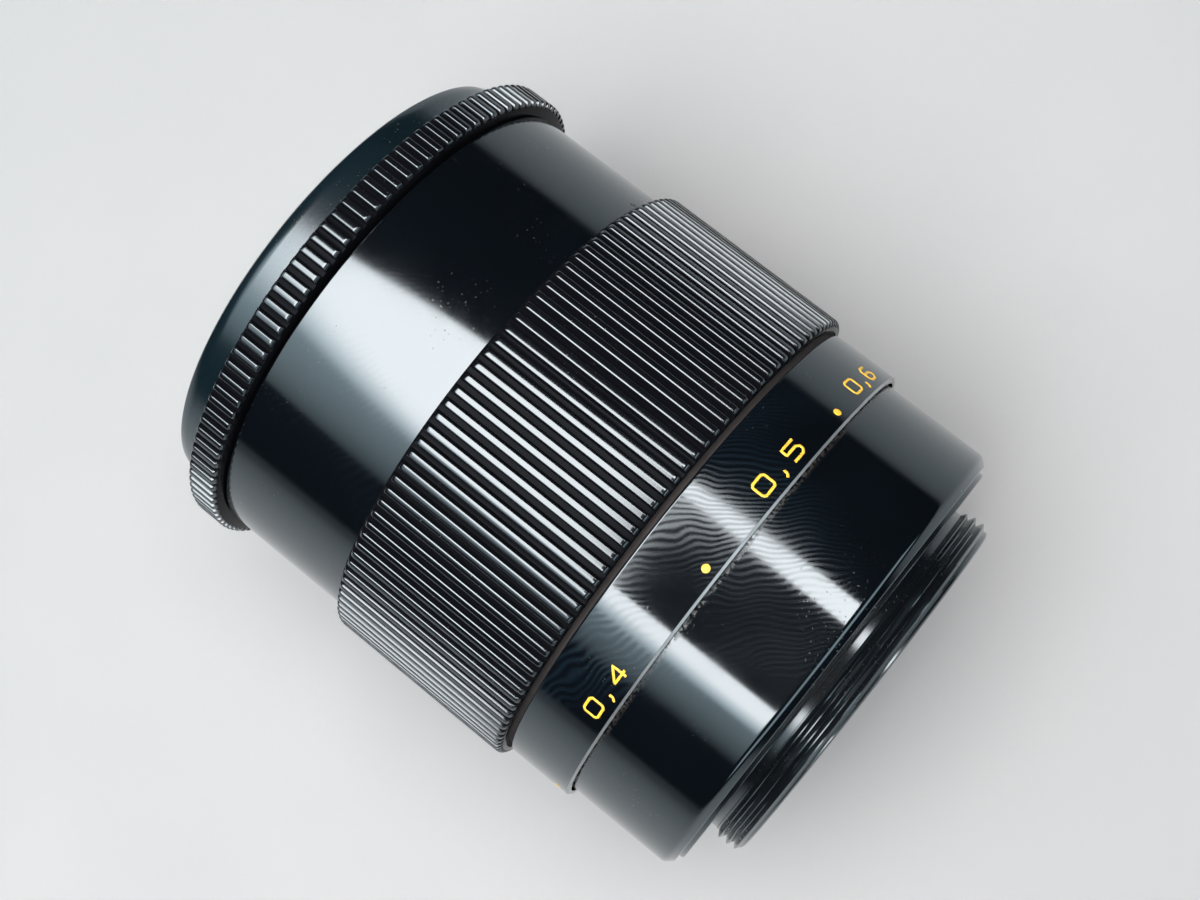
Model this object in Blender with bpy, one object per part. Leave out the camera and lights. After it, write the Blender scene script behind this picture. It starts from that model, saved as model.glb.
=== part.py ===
"""Manual-focus prime camera lens with a threaded mount, as an assembly of separate pieces.

Every piece is modelled in a lens frame: +Z along the optical axis towards the front, z = 0 on the
mount flange's seating face, +Y up. The empties at the end lay that frame on its side, so that the
lens rests on its widest ring with the front towards world -Y. It stands extended, at its closest
focus, with the iris partly closed.
"""

from math import acos, asin, atan2, cos, degrees, hypot, pi, radians, sin, sqrt, tau

import bmesh
import bpy
from mathutils import Matrix, Vector

MM = 0.001

# Facets of the round pieces.
OUTER_STEPS = 48
INNER_STEPS = 24
FINE_STEPS = 10
ARC_STEPS = 12

# Clearances.
GAP = 0.3 * MM  # seats, threads and running fits
CEMENT_GAP = 0.1 * MM  # between the two glasses of the rear pair
SLOT_GAP = 0.5 * MM  # beside levers that sweep through a slot

# Mount: screw thread, relief neck and flange.
THREAD_RADIUS = 21.0 * MM
THREAD_PITCH = 1.0 * MM
THREAD_DEPTH = 0.55 * MM
THREAD_TURNS = 3
NECK_RADIUS = 20.25 * MM
NECK_LENGTH = 0.9 * MM
MOUNT_BORE_RADIUS = 19.2 * MM
FLANGE_RADIUS = 24.9 * MM
FLANGE_RELIEF_RADIUS = 21.5 * MM
FLANGE_RELIEF_DEPTH = 0.3 * MM
MOUNT_THICKNESS = 2.2 * MM

# Fixed barrel.
BARREL_RADIUS = 26.4 * MM
BARREL_WALL = 0.7 * MM
BARREL_REAR = 0.5 * MM
BARREL_FRONT = 20.4 * MM
BARREL_EDGE = 0.9 * MM
LAND_LENGTH = 5.4 * MM

# Focusing ring.
SCALE_RING_REAR = 13.0 * MM
SCALE_RING_WALL = 0.6 * MM
SCALE_RING_EDGE = 0.2 * MM
SCALE_GROOVE = 0.6 * MM
FLUTES = 120
GRIP_RADIUS = 28.55 * MM
GRIP_LENGTH = 22.0 * MM
GRIP_FLUTE_DEPTH = 0.55 * MM
GRIP_EDGE = 0.5 * MM
WEB_THICKNESS = 1.8 * MM
NUT_WALL = 0.9 * MM
NUT_FLANGE_LENGTH = 2.2 * MM
LOCK_RING_LENGTH = 1.2 * MM
LOCK_RING_RADIUS = 26.8 * MM
RETAINER_LENGTH = 2.4 * MM

# Lens head, which slides 15.3 mm from closest focus back to infinity.
HELICOID_RADIUS = 23.4 * MM
HELICOID_WALL = 2.5 * MM
FOCUS_TRAVEL = 15.27 * MM
HEAD_TUBE_RADIUS = 27.15 * MM
HEAD_TUBE_WALL = 0.85 * MM
HEAD_TUBE_FRONT = 58.9 * MM
HEAD_FLANGE_SETBACK = 2.0 * MM
HEAD_FLANGE_LENGTH = 4.0 * MM
KEY_WIDTH = 4.0 * MM
KEY_HEIGHT = 1.7 * MM
KEY_ENGAGEMENT = 2.9 * MM
KEY_SCREW_RADIUS = 0.8 * MM
KEY_SCREW_HEAD_RADIUS = 1.4 * MM
KEY_SCREW_HEAD_LENGTH = 0.7 * MM
KEY_SCREW_LENGTH = 6.0 * MM
GRUB_RADIUS = 0.5 * MM
GRUB_RECESS = 0.05 * MM
GRUB_LENGTH = 2.2 * MM
GRUB_SLOT_WIDTH = 0.3 * MM
GRUB_SLOT_DEPTH = 0.25 * MM
GRUB_ANGLES = (152.0, 332.0)
KEY_ANGLE = 90.0

# Aperture ring and front rim.
APERTURE_RING_RADIUS = 28.75 * MM
APERTURE_RING_LENGTH = 3.5 * MM
APERTURE_FLUTE_DEPTH = 0.6 * MM
APERTURE_RING_EDGE = 0.35 * MM
SLEEVE_WALL = 0.7 * MM
SPIGOT_WALL = 0.8 * MM
RIM_RADIUS = 26.0 * MM
RIM_LENGTH = 3.6 * MM
RIM_EDGE = 0.3 * MM
FILTER_RADIUS = 24.6 * MM
FILTER_DEPTH = 3.0 * MM
CONE_WALL = 0.8 * MM
CONE_LIP = 0.8 * MM

# Optical block.
BLOCK_RADIUS = 18.4 * MM
BLOCK_WALL = 0.8 * MM
BLOCK_REAR = 14.2 * MM
BLOCK_FLANGE_REAR = 34.5 * MM
BLOCK_FLANGE_LENGTH = 1.5 * MM
BLOCK_FLANGE_RADIUS = 22.0 * MM
BLOCK_RETAINER_LENGTH = 1.7 * MM
BLOCK_RETAINER_WALL = 0.8 * MM
CELL_LEDGE = 1.0 * MM
NAME_RING_LENGTH = 1.3 * MM
NAME_RING_BORE = 10.1 * MM
FRONT_LENS_RADIUS = 10.8 * MM
FRONT_LENS_EDGE = 1.4 * MM
FRONT_LENS_CURVE = 20.0 * MM
FRONT_LENS_BACK_CURVE = 250.0 * MM
MIDDLE_LENS_RADIUS = 9.5 * MM
MIDDLE_LENS_EDGE = 3.4 * MM
MIDDLE_LENS_FRONT_CURVE = 60.0 * MM
MIDDLE_LENS_BACK_CURVE = 22.0 * MM
LENS_GAP = 0.9 * MM
REAR_LENS_RADIUS = 9.3 * MM
REAR_LENS_EDGE = 3.8 * MM
REAR_LENS_FRONT_CURVE = 90.0 * MM
REAR_LENS_CEMENT_CURVE = 30.0 * MM
REAR_LENS_BACK_CURVE = 27.0 * MM
REAR_LENS_CORE = 1.0 * MM
SEAT_WIDTH = 0.9 * MM

# Iris: blades pivot on the base plate and are swung by slots in the cam plate.
IRIS_BLADES = 6
IRIS_REAR = 20.9 * MM
PLATE_LENGTH = 1.0 * MM
STOP_RADIUS = 8.1 * MM
BLADE_INNER_RADIUS = 8.5 * MM
BLADE_OUTER_RADIUS = 13.3 * MM
BLADE_SPAN = 140.0
BLADE_THICKNESS = 0.2 * MM
BLADE_PITCH = 0.5 * MM
PIVOT_RADIUS = 14.4 * MM
PIN_RADIUS = 0.45 * MM
PIVOT_BOSS = 1.1 * MM
DRIVE_BOSS = 0.9 * MM
DRIVE_ARM = 3.0 * MM
RIVET_HEAD = 0.1 * MM
SMALLEST_STOP = 1.42 * MM
RING_SWEEP = 50.0  # turn of the aperture ring from fully open to fully closed
REST_STOP = 5.67 * MM  # opening that the iris is left at
ROD_RADIUS = 19.3 * MM
ROD_HEIGHT = 1.2 * MM
ROD_WIDTH = 3.6 * MM
LUG_WIDTH = 1.6 * MM
ARM_LENGTH = 1.0 * MM
DRIVE_ANGLE = 250.0

# Places along the axis and radii that follow from the sizes above.
THREAD_LENGTH = THREAD_TURNS * THREAD_PITCH + 0.1 * MM
REAR_END = -(NECK_LENGTH + THREAD_LENGTH)
BARREL_BORE = BARREL_RADIUS - BARREL_WALL
BARREL_LIP_BORE = FLANGE_RADIUS + GAP
NUT_BORE = HELICOID_RADIUS + GAP
NUT_RADIUS = NUT_BORE + NUT_WALL
LAND_BORE = NUT_RADIUS + GAP
LAND_REAR = BARREL_FRONT - LAND_LENGTH
NUT_REAR = LAND_REAR - GAP - NUT_FLANGE_LENGTH
RETAINER_FRONT = NUT_REAR - GAP
GRIP_REAR = BARREL_FRONT + SCALE_GROOVE
GRIP_FRONT = GRIP_REAR + GRIP_LENGTH
SCALE_RING_BORE = BARREL_RADIUS + 0.35 * MM
SCALE_RING_RADIUS = SCALE_RING_BORE + SCALE_RING_WALL
GRIP_BORE = HEAD_TUBE_RADIUS + GAP
WEB_FRONT = GRIP_REAR + WEB_THICKNESS
LOCK_REAR = WEB_FRONT + GAP
LOCK_FRONT = LOCK_REAR + LOCK_RING_LENGTH
HELICOID_REAR = MOUNT_THICKNESS + GAP + FOCUS_TRAVEL
HELICOID_BORE = HELICOID_RADIUS - HELICOID_WALL
KEY_REAR = MOUNT_THICKNESS + GAP
KEY_FRONT = HELICOID_REAR + KEY_ENGAGEMENT
KEY_MIDDLE_RADIUS = (HELICOID_RADIUS + HELICOID_BORE) / 2
KEY_INNER_RADIUS = KEY_MIDDLE_RADIUS - KEY_HEIGHT / 2
HEAD_TUBE_REAR = LOCK_FRONT + GAP + FOCUS_TRAVEL
HEAD_TUBE_BORE = HEAD_TUBE_RADIUS - HEAD_TUBE_WALL
HEAD_FLANGE_REAR = HEAD_TUBE_REAR + HEAD_FLANGE_SETBACK
HEAD_FLANGE_FRONT = HEAD_FLANGE_REAR + HEAD_FLANGE_LENGTH
GRUB_OUTER = HEAD_TUBE_RADIUS - GRUB_RECESS
SLEEVE_RADIUS = HEAD_TUBE_BORE - GAP
SLEEVE_BORE = SLEEVE_RADIUS - SLEEVE_WALL
SPIGOT_RADIUS = SLEEVE_BORE - GAP
SPIGOT_BORE = SPIGOT_RADIUS - SPIGOT_WALL
APERTURE_RING_REAR = HEAD_TUBE_FRONT + GAP
APERTURE_RING_FRONT = APERTURE_RING_REAR + APERTURE_RING_LENGTH
RIM_REAR = APERTURE_RING_FRONT + GAP
FRONT_END = RIM_REAR + RIM_LENGTH
FILTER_REAR = FRONT_END - FILTER_DEPTH
ARM_REAR = HEAD_FLANGE_FRONT + 2 * GAP
ARM_FRONT = ARM_REAR + ARM_LENGTH
SLEEVE_REAR = ARM_FRONT + GAP
BLOCK_BORE = BLOCK_RADIUS - BLOCK_WALL
PLATE_RADIUS = BLOCK_BORE - GAP
BLOCK_FRONT = BLOCK_FLANGE_REAR + BLOCK_FLANGE_LENGTH
LEDGE_REAR = BLOCK_FLANGE_REAR - GAP
FLANGE_SEAT_BORE = BLOCK_FLANGE_RADIUS + GAP
BLADES_REAR = IRIS_REAR + PLATE_LENGTH + GAP
CAM_REAR = BLADES_REAR + IRIS_BLADES * BLADE_PITCH + BLADE_THICKNESS
CAM_FRONT = CAM_REAR + PLATE_LENGTH
FRONT_CELL_REAR = CAM_FRONT + 0.4 * MM
MIDDLE_LENS_REAR = FRONT_CELL_REAR + CELL_LEDGE + GAP
SPACER_REAR = MIDDLE_LENS_REAR + MIDDLE_LENS_EDGE + GAP
SPACER_FRONT = SPACER_REAR + LENS_GAP
FRONT_LENS_REAR = SPACER_FRONT + GAP
FRONT_LENS_RIM = FRONT_LENS_REAR + FRONT_LENS_EDGE
CELL_FRONT = BLOCK_FRONT
NAME_RING_REAR = CELL_FRONT + GAP
NAME_RING_FRONT = NAME_RING_REAR + NAME_RING_LENGTH
CONE_REAR = NAME_RING_FRONT + GAP
CONE_FRONT = FILTER_REAR - GAP
REAR_CELL_FRONT = IRIS_REAR - GAP
REAR_LENS_REAR = BLOCK_REAR + CELL_LEDGE + GAP
AXIS_HEIGHT = APERTURE_RING_RADIUS
AXIS_OFFSET = (FRONT_END + REAR_END) / 2


def blade_turn(opening):
    """Turn of a blade, in degrees, at which its inner edge leaves an opening of this radius."""
    return degrees(2 * asin((BLADE_INNER_RADIUS - opening) / (2 * PIVOT_RADIUS)))


CLOSED_TURN = blade_turn(SMALLEST_STOP)
REST_TURN = blade_turn(REST_STOP)
RING_PER_BLADE = RING_SWEEP / CLOSED_TURN
REST_RING_TURN = REST_TURN * RING_PER_BLADE


def polar(radius, angle, z=0.0):
    """Point at this radius and angle in degrees about the optical axis."""
    return Vector((radius * cos(radians(angle)), radius * sin(radians(angle)), z))


def clear_scene():
    for obj in list(bpy.data.objects):
        bpy.data.objects.remove(obj)


def material(name, colour, roughness, metallic=0.0, transmission=0.0):
    made = bpy.data.materials.new(name)
    made.use_nodes = True
    shader = made.node_tree.nodes["Principled BSDF"]
    shader.inputs["Base Color"].default_value = (*colour, 1.0)
    shader.inputs["Roughness"].default_value = roughness
    shader.inputs["Metallic"].default_value = metallic
    shader.inputs["Transmission Weight"].default_value = transmission
    return made


def empty(name, location=(0.0, 0.0, 0.0), parent=None):
    made = bpy.data.objects.new(name, None)
    bpy.context.scene.collection.objects.link(made)
    made.location = location
    made.parent = parent
    return made


def finish(name, mesh, parent, skin):
    """Links a bmesh as a named object with its material, shaded smooth between its sharp edges."""
    bmesh.ops.remove_doubles(mesh, verts=mesh.verts, dist=0.001 * MM)
    bmesh.ops.recalc_face_normals(mesh, faces=mesh.faces)
    data = bpy.data.meshes.new(name)
    mesh.to_mesh(data)
    mesh.free()
    data.shade_smooth()
    data.set_sharp_from_angle(angle=radians(30))
    made = bpy.data.objects.new(name, data)
    bpy.context.scene.collection.objects.link(made)
    made.parent = parent
    if skin is not None:
        data.materials.append(skin)
    return made


def turned(name, profile, steps, parent, skin):
    """Solid of revolution from a closed outline of (radius, z) points."""
    mesh = bmesh.new()
    verts = [mesh.verts.new((radius, 0.0, z)) for radius, z in profile]
    edges = [mesh.edges.new(pair) for pair in zip(verts, verts[1:] + verts[:1]) if pair[0] is not pair[1]]
    on_axis = [edge for edge in edges if all(abs(vert.co.x) < 1e-9 for vert in edge.verts)]
    for edge in on_axis:
        edges.remove(edge)
        mesh.edges.remove(edge)
    bmesh.ops.spin(
        mesh, geom=verts + edges, cent=(0, 0, 0), axis=(0, 0, 1), angle=tau, steps=steps, use_merge=True
    )
    return finish(name, mesh, parent, skin)


def tube(bore, radius, rear, front):
    """Outline of a plain tube."""
    return [(bore, rear), (radius, rear), (radius, front), (bore, front)]


def circle_points(radius, steps, z, start=0.0):
    return [polar(radius, start + 360.0 * i / steps, z) for i in range(steps)]


def ring_of(mesh, points):
    """Closed loop of vertices and edges through these points."""
    verts = [mesh.verts.new(point) for point in points]
    return [mesh.edges.new(pair) for pair in zip(verts, verts[1:] + verts[:1])]


def skin_between(mesh, loops):
    """Faces from each loop to the next, where all loops have the same number of points."""
    for low, high in zip(loops, loops[1:]):
        bmesh.ops.bridge_loops(mesh, edges=low + high)


def fluted_ring(name, stations, bore_profile, parent, skin):
    """Ring with lengthwise flutes outside. A station is (z, crest radius, valley radius), rear to
    front, and the bore profile is (radius, z) from front to rear."""
    mesh = bmesh.new()
    outer = []
    for z, crest, valley in stations:
        points = []
        for i in range(FLUTES):
            angle = 360.0 * i / FLUTES
            points.append(polar(crest, angle, z))
            points.append(polar(valley, angle + 180.0 / FLUTES, z))
        outer.append(ring_of(mesh, points))
    bore = [ring_of(mesh, circle_points(radius, OUTER_STEPS, z)) for radius, z in bore_profile]
    skin_between(mesh, outer)
    skin_between(mesh, bore)
    for outer_edge, inner_edge in ((outer[-1], bore[0]), (outer[0], bore[-1])):
        bmesh.ops.triangle_fill(mesh, use_beauty=True, edges=outer_edge + inner_edge)
    return finish(name, mesh, parent, skin)


def extruded(name, outline, rear, front, parent=None, skin=None):
    """Prism from a closed outline of (x, y) points between two heights."""
    mesh = bmesh.new()
    face = mesh.faces.new([mesh.verts.new((x, y, rear)) for x, y in outline])
    top = bmesh.ops.extrude_face_region(mesh, geom=[face])["geom"]
    risen = [item for item in top if isinstance(item, bmesh.types.BMVert)]
    bmesh.ops.translate(mesh, verts=risen, vec=(0, 0, front - rear))
    return finish(name, mesh, parent, skin)


def arc_outline(inner, outer, middle_angle, sweep, steps=ARC_STEPS):
    """Outline of a ring's sector, centred on an angle."""
    angles = [middle_angle - sweep / 2 + sweep * i / steps for i in range(steps + 1)]
    there = [polar(outer, angle).to_2d() for angle in angles]
    back = [polar(inner, angle).to_2d() for angle in reversed(angles)]
    return there + back


def bar_outline(inner, outer, angle, width):
    """Outline of a straight bar that runs radially."""
    outward = polar(1.0, angle).to_2d()
    across = polar(1.0, angle + 90).to_2d() * (width / 2)
    near, far = outward * inner, outward * outer
    return [near - across, far - across, far + across, near + across]


def as_helper(obj):
    obj.hide_render = True
    obj.display_type = "WIRE"
    return obj


def combine(obj, helper, operation):
    """Joins a helper to an object, or cuts it out, with a Boolean."""
    helper.parent = obj.parent
    modifier = obj.modifiers.new(operation.lower(), "BOOLEAN")
    modifier.operation = operation
    modifier.solver = "EXACT"
    modifier.object = as_helper(helper)


def cut(obj, helper):
    combine(obj, helper, "DIFFERENCE")


def join(obj, helper):
    combine(obj, helper, "UNION")


def rod(name, radius, rear, front, x=0.0, y=0.0, steps=FINE_STEPS):
    """Small cylinder along the optical axis."""
    outline = [(x + radius * cos(tau * i / steps), y + radius * sin(tau * i / steps)) for i in range(steps)]
    return extruded(name, outline, rear, front)


def several(name, makers):
    """One helper mesh made of several separate ones."""
    mesh = bmesh.new()
    for part in makers:
        mesh.from_mesh(part.data)
        bpy.data.objects.remove(part)
    return finish(name, mesh, None, None)


def thread_profile():
    """(radius, z) along the mount thread's outside, from the rear end forwards."""
    root = THREAD_RADIUS - THREAD_DEPTH
    points = [(root, REAR_END)]
    for turn in range(THREAD_TURNS):
        foot = REAR_END + turn * THREAD_PITCH
        points += [(THREAD_RADIUS, foot + 0.4 * THREAD_PITCH), (THREAD_RADIUS, foot + 0.55 * THREAD_PITCH)]
        points.append((root, foot + THREAD_PITCH))
    return points


def sag(curve, radius):
    """Depth of a spherical surface of this curve at this radius."""
    return curve - sqrt(curve * curve - radius * radius)


def surface(curve, vertex, radius, steps=4):
    """(radius, z) along a lens surface from the axis out. A positive curve bulges forwards."""
    way = 1 if curve > 0 else -1
    radii = [radius * i / steps for i in range(steps + 1)]
    return [(reach, vertex - way * sag(abs(curve), reach)) for reach in radii]


def lens(name, rear_surface, front_surface, parent, skin):
    """Glass between two surfaces, each given from the axis out."""
    return turned(name, rear_surface + front_surface[::-1], INNER_STEPS, parent, skin)


def mount_thread_ring(parent, skin):
    profile = thread_profile() + [
        (NECK_RADIUS, -NECK_LENGTH),
        (NECK_RADIUS, FLANGE_RELIEF_DEPTH),
        (FLANGE_RELIEF_RADIUS, FLANGE_RELIEF_DEPTH),
        (FLANGE_RELIEF_RADIUS, 0.0),
        (FLANGE_RADIUS, 0.0),
        (FLANGE_RADIUS, MOUNT_THICKNESS),
        (MOUNT_BORE_RADIUS, MOUNT_THICKNESS),
        (MOUNT_BORE_RADIUS, REAR_END),
    ]
    ring = turned("mount_thread_ring", profile, OUTER_STEPS, parent, skin)
    x, y, _ = polar(KEY_MIDDLE_RADIUS, KEY_ANGLE)
    through = rod("key_screw_hole", KEY_SCREW_RADIUS + GAP, -1 * MM, MOUNT_THICKNESS + 1 * MM, x, y)
    head = rod("key_screw_seat", KEY_SCREW_HEAD_RADIUS + GAP, -1 * MM, KEY_SCREW_HEAD_LENGTH + GAP, x, y)
    cut(ring, through)
    cut(ring, head)
    return ring


def fixed_barrel(parent, skin):
    profile = [
        (BARREL_LIP_BORE, BARREL_REAR),
        (BARREL_RADIUS - BARREL_EDGE, BARREL_REAR),
        (BARREL_RADIUS, BARREL_REAR + BARREL_EDGE),
        (BARREL_RADIUS, BARREL_FRONT),
        (LAND_BORE, BARREL_FRONT),
        (LAND_BORE, LAND_REAR),
        (BARREL_BORE, LAND_REAR),
        (BARREL_BORE, MOUNT_THICKNESS),
        (BARREL_LIP_BORE, MOUNT_THICKNESS),
    ]
    return turned("fixed_barrel", profile, OUTER_STEPS, parent, skin)


def focus_retainer_ring(parent, skin):
    profile = tube(NUT_BORE + GAP, BARREL_BORE - GAP, RETAINER_FRONT - RETAINER_LENGTH, RETAINER_FRONT)
    return turned("focus_retainer_ring", profile, INNER_STEPS, parent, skin)


def focus_guide_key(parent, skin):
    """Straight bar that stands on the mount ring and keeps the lens head from turning."""
    outline = bar_outline(KEY_INNER_RADIUS, KEY_INNER_RADIUS + KEY_HEIGHT, KEY_ANGLE, KEY_WIDTH)
    return extruded("focus_guide_key", outline, KEY_REAR, KEY_FRONT, parent, skin)


def guide_key_screw(parent, skin):
    """Its shank ends at the key's foot, where the key's own tapped stub takes over."""
    x, y, _ = polar(KEY_MIDDLE_RADIUS, KEY_ANGLE)
    screw = rod("guide_key_screw", KEY_SCREW_HEAD_RADIUS, GAP / 2, KEY_SCREW_HEAD_LENGTH, x, y)
    screw.parent = parent
    screw.data.materials.append(skin)
    shank = rod("key_screw_shank", KEY_SCREW_RADIUS, KEY_SCREW_HEAD_LENGTH / 2, MOUNT_THICKNESS, x, y)
    join(screw, shank)
    return screw


def focus_grip(parent, skin):
    end = GRIP_RADIUS - GRIP_EDGE - 0.1 * MM
    valley = GRIP_RADIUS - GRIP_FLUTE_DEPTH
    stations = [
        (GRIP_REAR, end, end),
        (GRIP_REAR + GRIP_EDGE, GRIP_RADIUS, valley),
        (GRIP_FRONT - GRIP_EDGE, GRIP_RADIUS, valley),
        (GRIP_FRONT, end, end),
    ]
    bore = [
        (GRIP_BORE, GRIP_FRONT),
        (GRIP_BORE, WEB_FRONT),
        (NUT_RADIUS + GAP, WEB_FRONT),
        (NUT_RADIUS + GAP, GRIP_REAR),
    ]
    return fluted_ring("focus_grip", stations, bore, parent, skin)


def distance_scale_ring(parent, skin):
    front = GRIP_REAR - SCALE_GROOVE
    profile = [
        (SCALE_RING_BORE, SCALE_RING_REAR),
        (SCALE_RING_RADIUS - SCALE_RING_EDGE, SCALE_RING_REAR),
        (SCALE_RING_RADIUS, SCALE_RING_REAR + SCALE_RING_EDGE),
        (SCALE_RING_RADIUS, front),
        (SCALE_RING_BORE, front),
    ]
    return turned("distance_scale_ring", profile, OUTER_STEPS, parent, skin)


def focus_helicoid_nut(parent, skin):
    flange = BARREL_BORE - GAP
    profile = [
        (NUT_BORE, NUT_REAR),
        (flange, NUT_REAR),
        (flange, NUT_REAR + NUT_FLANGE_LENGTH),
        (NUT_RADIUS, NUT_REAR + NUT_FLANGE_LENGTH),
        (NUT_RADIUS, LOCK_FRONT),
        (NUT_BORE, LOCK_FRONT),
    ]
    return turned("focus_helicoid_nut", profile, INNER_STEPS, parent, skin)


def focus_lock_ring(parent, skin):
    profile = tube(NUT_RADIUS + GAP, LOCK_RING_RADIUS, LOCK_REAR, LOCK_FRONT)
    return turned("focus_lock_ring", profile, INNER_STEPS, parent, skin)


def head_helicoid(parent, skin):
    profile = [
        (HELICOID_BORE, HELICOID_REAR),
        (HELICOID_RADIUS, HELICOID_REAR),
        (HELICOID_RADIUS, HEAD_FLANGE_REAR),
        (HEAD_TUBE_BORE - GAP, HEAD_FLANGE_REAR),
        (HEAD_TUBE_BORE - GAP, HEAD_FLANGE_FRONT),
        (FLANGE_SEAT_BORE, HEAD_FLANGE_FRONT),
        (FLANGE_SEAT_BORE, LEDGE_REAR),
        (HELICOID_BORE, LEDGE_REAR),
    ]
    sleeve = turned("head_helicoid", profile, INNER_STEPS, parent, skin)
    slot_front = KEY_FRONT + FOCUS_TRAVEL + SLOT_GAP
    outline = bar_outline(HELICOID_BORE - 1 * MM, HELICOID_RADIUS + 1 * MM, KEY_ANGLE, KEY_WIDTH + 2 * GAP)
    cut(sleeve, extruded("key_slot", outline, HELICOID_REAR - 1 * MM, slot_front))
    cut(sleeve, grub_holes("flange_grub_holes", GRUB_OUTER - GRUB_LENGTH - GAP, HEAD_TUBE_RADIUS))
    return sleeve


def grub_frame(angle):
    """Frame whose X axis runs outwards at the tube's grub screws."""
    middle = (HEAD_FLANGE_REAR + HEAD_FLANGE_FRONT) / 2
    return Matrix.Translation((0, 0, middle)) @ Matrix.Rotation(radians(angle), 4, "Z")


def grub_helper(name, angle, radius, inner, outer):
    """Small radial cylinder at a grub screw's place."""
    mesh = bmesh.new()
    bmesh.ops.create_cone(
        mesh, cap_ends=True, segments=FINE_STEPS, radius1=radius, radius2=radius, depth=outer - inner
    )
    along_x = Matrix.Rotation(pi / 2, 4, "Y")
    middle = Matrix.Translation(((inner + outer) / 2, 0, 0))
    bmesh.ops.transform(mesh, verts=mesh.verts, matrix=grub_frame(angle) @ middle @ along_x)
    return finish(name, mesh, None, None)


def tube_grub_screw(number, angle, parent, skin):
    """Slotted screw, flush with the head tube, that ties the tube to the helicoid's flange."""
    screw = grub_helper(f"tube_grub_screw_{number}", angle, GRUB_RADIUS, GRUB_OUTER - GRUB_LENGTH, GRUB_OUTER)
    screw.parent = parent
    screw.data.materials.append(skin)
    mesh = bmesh.new()
    bmesh.ops.create_cube(mesh, size=1.0)
    size = Matrix.Diagonal((2 * GRUB_SLOT_DEPTH, GRUB_SLOT_WIDTH, 4 * GRUB_RADIUS, 1))
    place = grub_frame(angle) @ Matrix.Translation((GRUB_OUTER, 0, 0))
    bmesh.ops.transform(mesh, verts=mesh.verts, matrix=place @ size)
    cut(screw, finish(f"grub_slot_{number}", mesh, None, None))
    return screw


def grub_holes(name, inner, outer):
    radius = GRUB_RADIUS + GAP
    helpers = [grub_helper(f"{name}_{angle:.0f}", angle, radius, inner, outer) for angle in GRUB_ANGLES]
    return several(name, helpers)


def head_tube(parent, skin):
    profile = tube(HEAD_TUBE_BORE, HEAD_TUBE_RADIUS, HEAD_TUBE_REAR, HEAD_TUBE_FRONT)
    made = turned("head_tube", profile, OUTER_STEPS, parent, skin)
    cut(made, grub_holes("tube_grub_holes", HEAD_TUBE_BORE - 1 * MM, HEAD_TUBE_RADIUS + 1 * MM))
    return made


def aperture_ring(parent, skin):
    end = APERTURE_RING_RADIUS - APERTURE_FLUTE_DEPTH
    stations = [
        (APERTURE_RING_REAR, end, end),
        (APERTURE_RING_REAR + APERTURE_RING_EDGE, APERTURE_RING_RADIUS, end),
        (APERTURE_RING_FRONT - APERTURE_RING_EDGE, APERTURE_RING_RADIUS, end),
        (APERTURE_RING_FRONT, end, end),
    ]
    bore = [(SLEEVE_BORE, APERTURE_RING_FRONT), (SLEEVE_BORE, APERTURE_RING_REAR)]
    return fluted_ring("aperture_ring", stations, bore, parent, skin)


def aperture_drive_sleeve(parent, skin):
    profile = tube(SLEEVE_BORE, SLEEVE_RADIUS, SLEEVE_REAR, APERTURE_RING_REAR - GAP)
    return turned("aperture_drive_sleeve", profile, INNER_STEPS, parent, skin)


def aperture_drive_arm(parent, skin):
    """Arm from the sleeve inwards, with a rod that reaches back to the cam plate's lug."""
    outline = bar_outline(ROD_RADIUS + ROD_HEIGHT / 2, SLEEVE_RADIUS, DRIVE_ANGLE, ROD_WIDTH)
    arm = extruded("aperture_drive_arm", outline, ARM_REAR, ARM_FRONT, parent, skin)
    down = bar_outline(ROD_RADIUS, ROD_RADIUS + ROD_HEIGHT, DRIVE_ANGLE, ROD_WIDTH - 0.1 * MM)
    join(arm, extruded("drive_rod", down, CAM_REAR - GAP, (ARM_REAR + ARM_FRONT) / 2))
    outer = ROD_RADIUS + ROD_HEIGHT + 1 * MM
    notch = bar_outline(ROD_RADIUS - 1 * MM, outer, DRIVE_ANGLE, LUG_WIDTH + 2 * GAP)
    cut(arm, extruded("drive_fork", notch, CAM_REAR - 1 * MM, CAM_FRONT + GAP))
    return arm


def lever_slot(name, inner, outer, width, rear, front):
    """Cutter for the arc that a lever on the aperture body sweeps. At rest the lever stands at
    DRIVE_ANGLE, part of the way from the open end to the closed end."""
    beside = degrees((width / 2 + SLOT_GAP) / ((inner + outer) / 2))
    middle = DRIVE_ANGLE + RING_SWEEP / 2 - REST_RING_TURN
    return extruded(name, arc_outline(inner, outer, middle, RING_SWEEP + 2 * beside), rear, front)


def front_rim(parent, skin):
    profile = [
        (SPIGOT_BORE, HEAD_FLANGE_FRONT + GAP),
        (SPIGOT_RADIUS, HEAD_FLANGE_FRONT + GAP),
        (SPIGOT_RADIUS, RIM_REAR),
        (RIM_RADIUS, RIM_REAR),
        (RIM_RADIUS, FRONT_END - RIM_EDGE),
        (RIM_RADIUS - RIM_EDGE, FRONT_END),
        (FILTER_RADIUS, FRONT_END),
        (FILTER_RADIUS, FILTER_REAR),
        (SPIGOT_BORE, FILTER_REAR),
    ]
    rim = turned("front_rim", profile, OUTER_STEPS, parent, skin)
    slot = lever_slot(
        "arm_notch",
        SPIGOT_BORE - 1 * MM,
        SPIGOT_RADIUS + 1 * MM,
        ROD_WIDTH,
        ARM_REAR - 2 * MM,
        ARM_FRONT + GAP,
    )
    cut(rim, slot)
    return rim


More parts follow.
